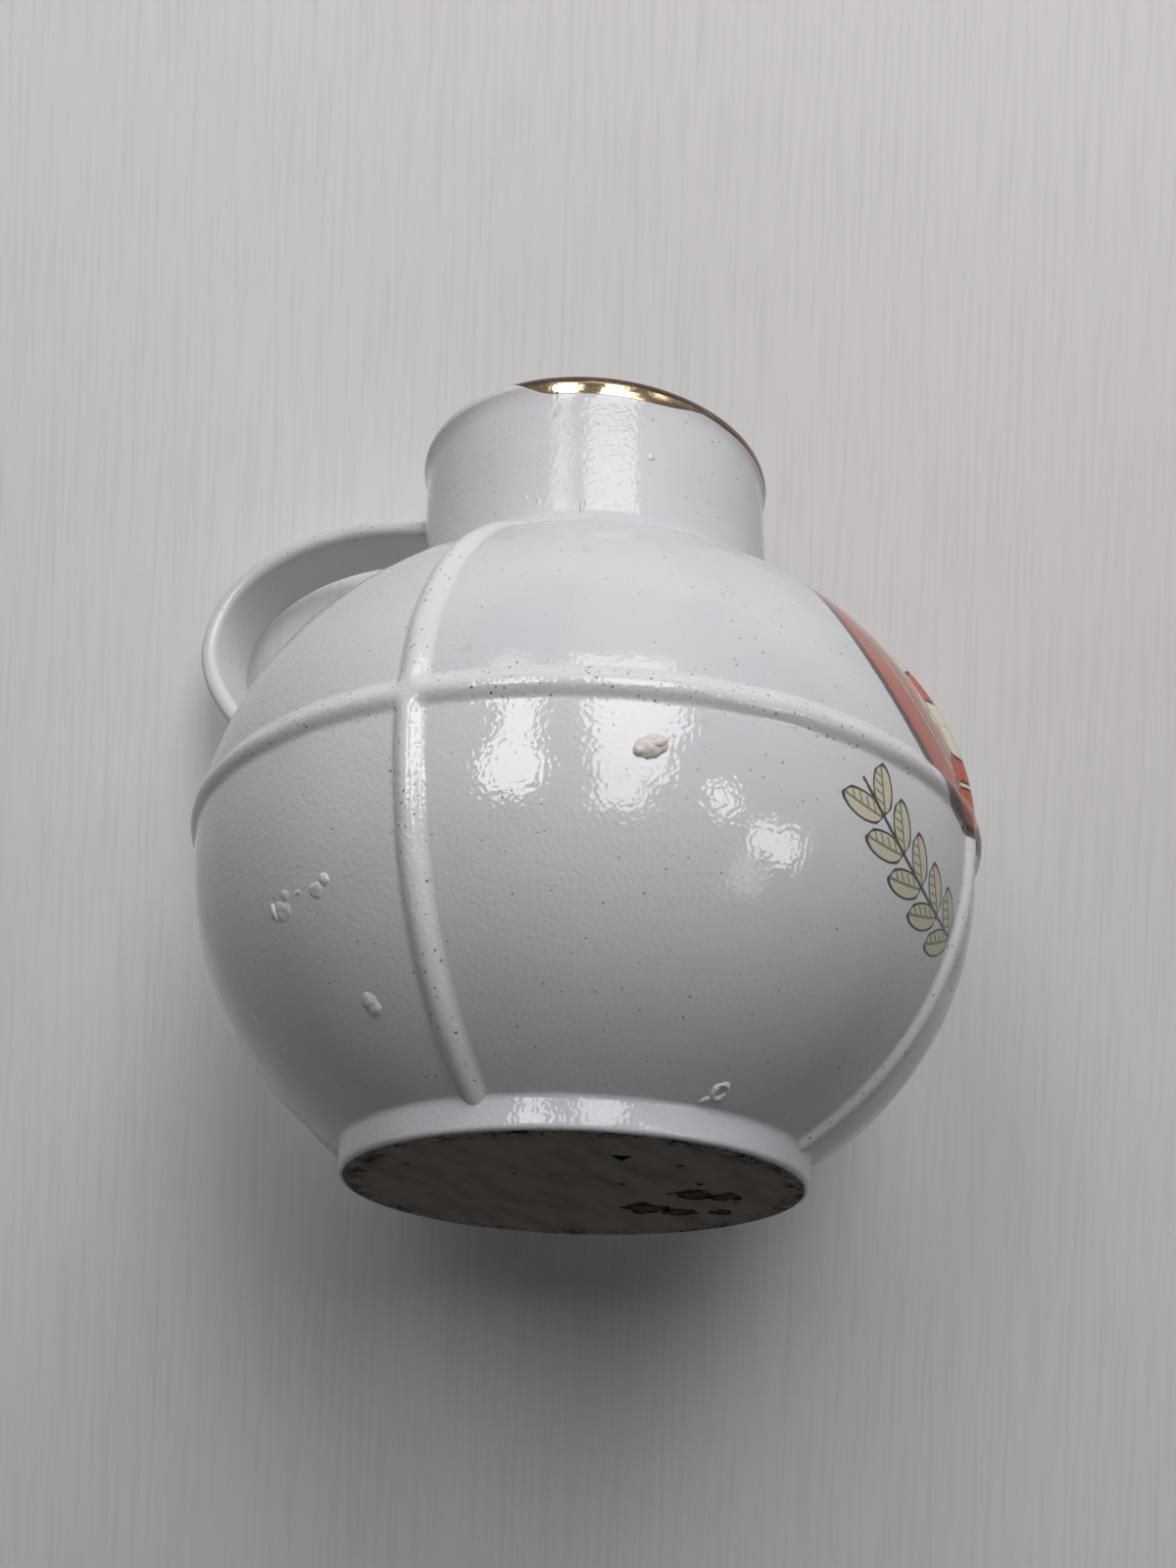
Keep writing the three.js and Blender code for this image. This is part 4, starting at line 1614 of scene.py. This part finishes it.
def lump_form():
    """Lumps on points, each sized and turned by its point and roughened by noise."""
    form = Form("lump_form")
    points = form.take("Points", "NodeSocketGeometry")
    rough, scale = form.lengths("Roughness", "Roughness Scale")
    ball = form.add("GeometryNodeMeshIcoSphere", None, {"Radius": 1.0, "Subdivisions": LUMP_DETAIL})
    vector = {"data_type": "FLOAT_VECTOR"}
    size = form.add("GeometryNodeInputNamedAttribute", vector, {"Name": "lump_size"})
    way = form.add("GeometryNodeInputNamedAttribute", vector, {"Name": "lump_turn"})
    spin = form.add("FunctionNodeEulerToRotation", None, {0: way})
    lumps = form.add(
        "GeometryNodeInstanceOnPoints",
        None,
        {"Points": points, "Instance": ball, "Rotation": spin, "Scale": size},
    )
    real = form.add("GeometryNodeRealizeInstances", None, {"Geometry": lumps})
    place = form.add("GeometryNodeInputPosition")
    push = (form.noise(place, scale, 2.0) - 0.5) * rough
    normal = form.add("GeometryNodeInputNormal")
    move = form.vector("MULTIPLY", normal, form.combine(push, push, push))
    moved = form.add("GeometryNodeSetPosition", None, {"Geometry": real, "Offset": move})
    form.give(moved)
    return form


def lump_points(name, sizes, lumps):
    """A mesh of points on the wall, which carry each lump's half sizes and turn."""
    outline = Outline(sizes)
    places, halves, turns = [], [], []
    for around, height, wide, tall, stand, spin in lumps:
        way = math.radians(around)
        low, high = (outline.radius_at((height + step) * MM) for step in (-SLOPE_STEP, SLOPE_STEP))
        if height * MM > sizes.neck_start - MM:
            low = high = sizes.neck_radius
        out = Vector((2 * SLOPE_STEP * MM, 0.0, low - high)).normalized()
        normal = Matrix.Rotation(way, 3, "Z") @ out
        side = Vector((-math.sin(way), math.cos(way), 0.0))
        basis = Matrix((side, normal.cross(side), normal)).transposed()
        radius = (low + high) / 2
        wall = Vector((radius * math.cos(way), radius * math.sin(way), height * MM))
        deep = stand * MM / (1.0 - LUMP_SINK)
        places.append(wall - normal * (LUMP_SINK * deep))
        halves += [wide * MM / LUMP_SHOWN, tall * MM / LUMP_SHOWN, deep]
        turns += (basis @ Matrix.Rotation(math.radians(spin), 3, "Z")).to_euler()
    mesh = chain(name, places)
    for label, values in (("lump_size", halves), ("lump_turn", turns)):
        mesh.attributes.new(label, "FLOAT_VECTOR", "POINT").data.foreach_set("vector", values)
    return mesh


class MILK_JUG_OT_lumps(bpy.types.Operator):
    """Stick the kiln crumbs and glaze lumps on the walls"""

    bl_idname = "milk_jug.lumps"
    bl_label = "Lumps"

    def execute(self, context):
        settings = context.scene.milk_jug
        sizes = settings.sizes
        across = math.degrees(BUBBLE_RADIUS * MM / Outline(sizes).radius_at(BUBBLE[1] * MM))
        bubble = []
        for turn_to in np.linspace(0.0, 2 * math.pi, BUBBLE_LUMPS, endpoint=False):
            around = BUBBLE[0] + across * math.cos(turn_to)
            height = BUBBLE[1] + BUBBLE_RADIUS * BUBBLE_SQUASH * math.sin(turn_to)
            wide = BUBBLE_LUMP + BUBBLE_SWELL * math.sin(BUBBLE_SWELLS * turn_to / 2) ** 2
            bubble.append((around, height, wide, wide, wide, 0))
        form = lump_form()
        pieces = (
            ("glaze_lumps", (*GLAZE_LUMPS, *bubble), "white_glaze", *LUMP_ROUGHNESS),
            ("clay_flake", CLAY_FLAKE, "bare_flake", *FLAKE_ROUGHNESS),
        )
        for name, lumps, finish, rough, scale in pieces:
            values = {"Roughness": rough, "Roughness Scale": scale}
            values["Material"] = Finishes.get(finish, settings)
            piece = form.shape(name, lump_points(name, sizes, lumps), values)
            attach(piece, BODY)
        return {"FINISHED"}


class MILK_JUG_PT_panel(bpy.types.Panel):
    """Lists what builds the jug"""

    bl_idname = "MILK_JUG_PT_panel"
    bl_label = "Milk Jug"
    bl_space_type = "VIEW_3D"
    bl_region_type = "UI"
    bl_category = "Milk Jug"

    def draw(self, context):
        settings = context.scene.milk_jug
        for operator in OPERATORS:
            self.layout.operator(operator.bl_idname)
        for group in (settings.sizes, settings.colours):
            for name in group.__annotations__:
                self.layout.prop(group, name)


OPERATORS = (
    MILK_JUG_OT_stage,
    MILK_JUG_OT_turned,
    MILK_JUG_OT_bands,
    MILK_JUG_OT_handle,
    MILK_JUG_OT_lumps,
)
CLASSES = (JugSizes, JugColours, JugSettings, *OPERATORS, MILK_JUG_PT_panel)


def register():
    for cls in CLASSES:
        bpy.utils.register_class(cls)
    bpy.types.Scene.milk_jug = PointerProperty(type=JugSettings)


def unregister():
    del bpy.types.Scene.milk_jug
    for cls in reversed(CLASSES):
        bpy.utils.unregister_class(cls)


def main():
    """Builds the jug and its stage."""
    register()
    bpy.ops.milk_jug.stage()
    bpy.ops.milk_jug.turned()
    bpy.ops.milk_jug.bands()
    bpy.ops.milk_jug.handle()
    bpy.ops.milk_jug.lumps()


if __name__ == "__main__":
    main()
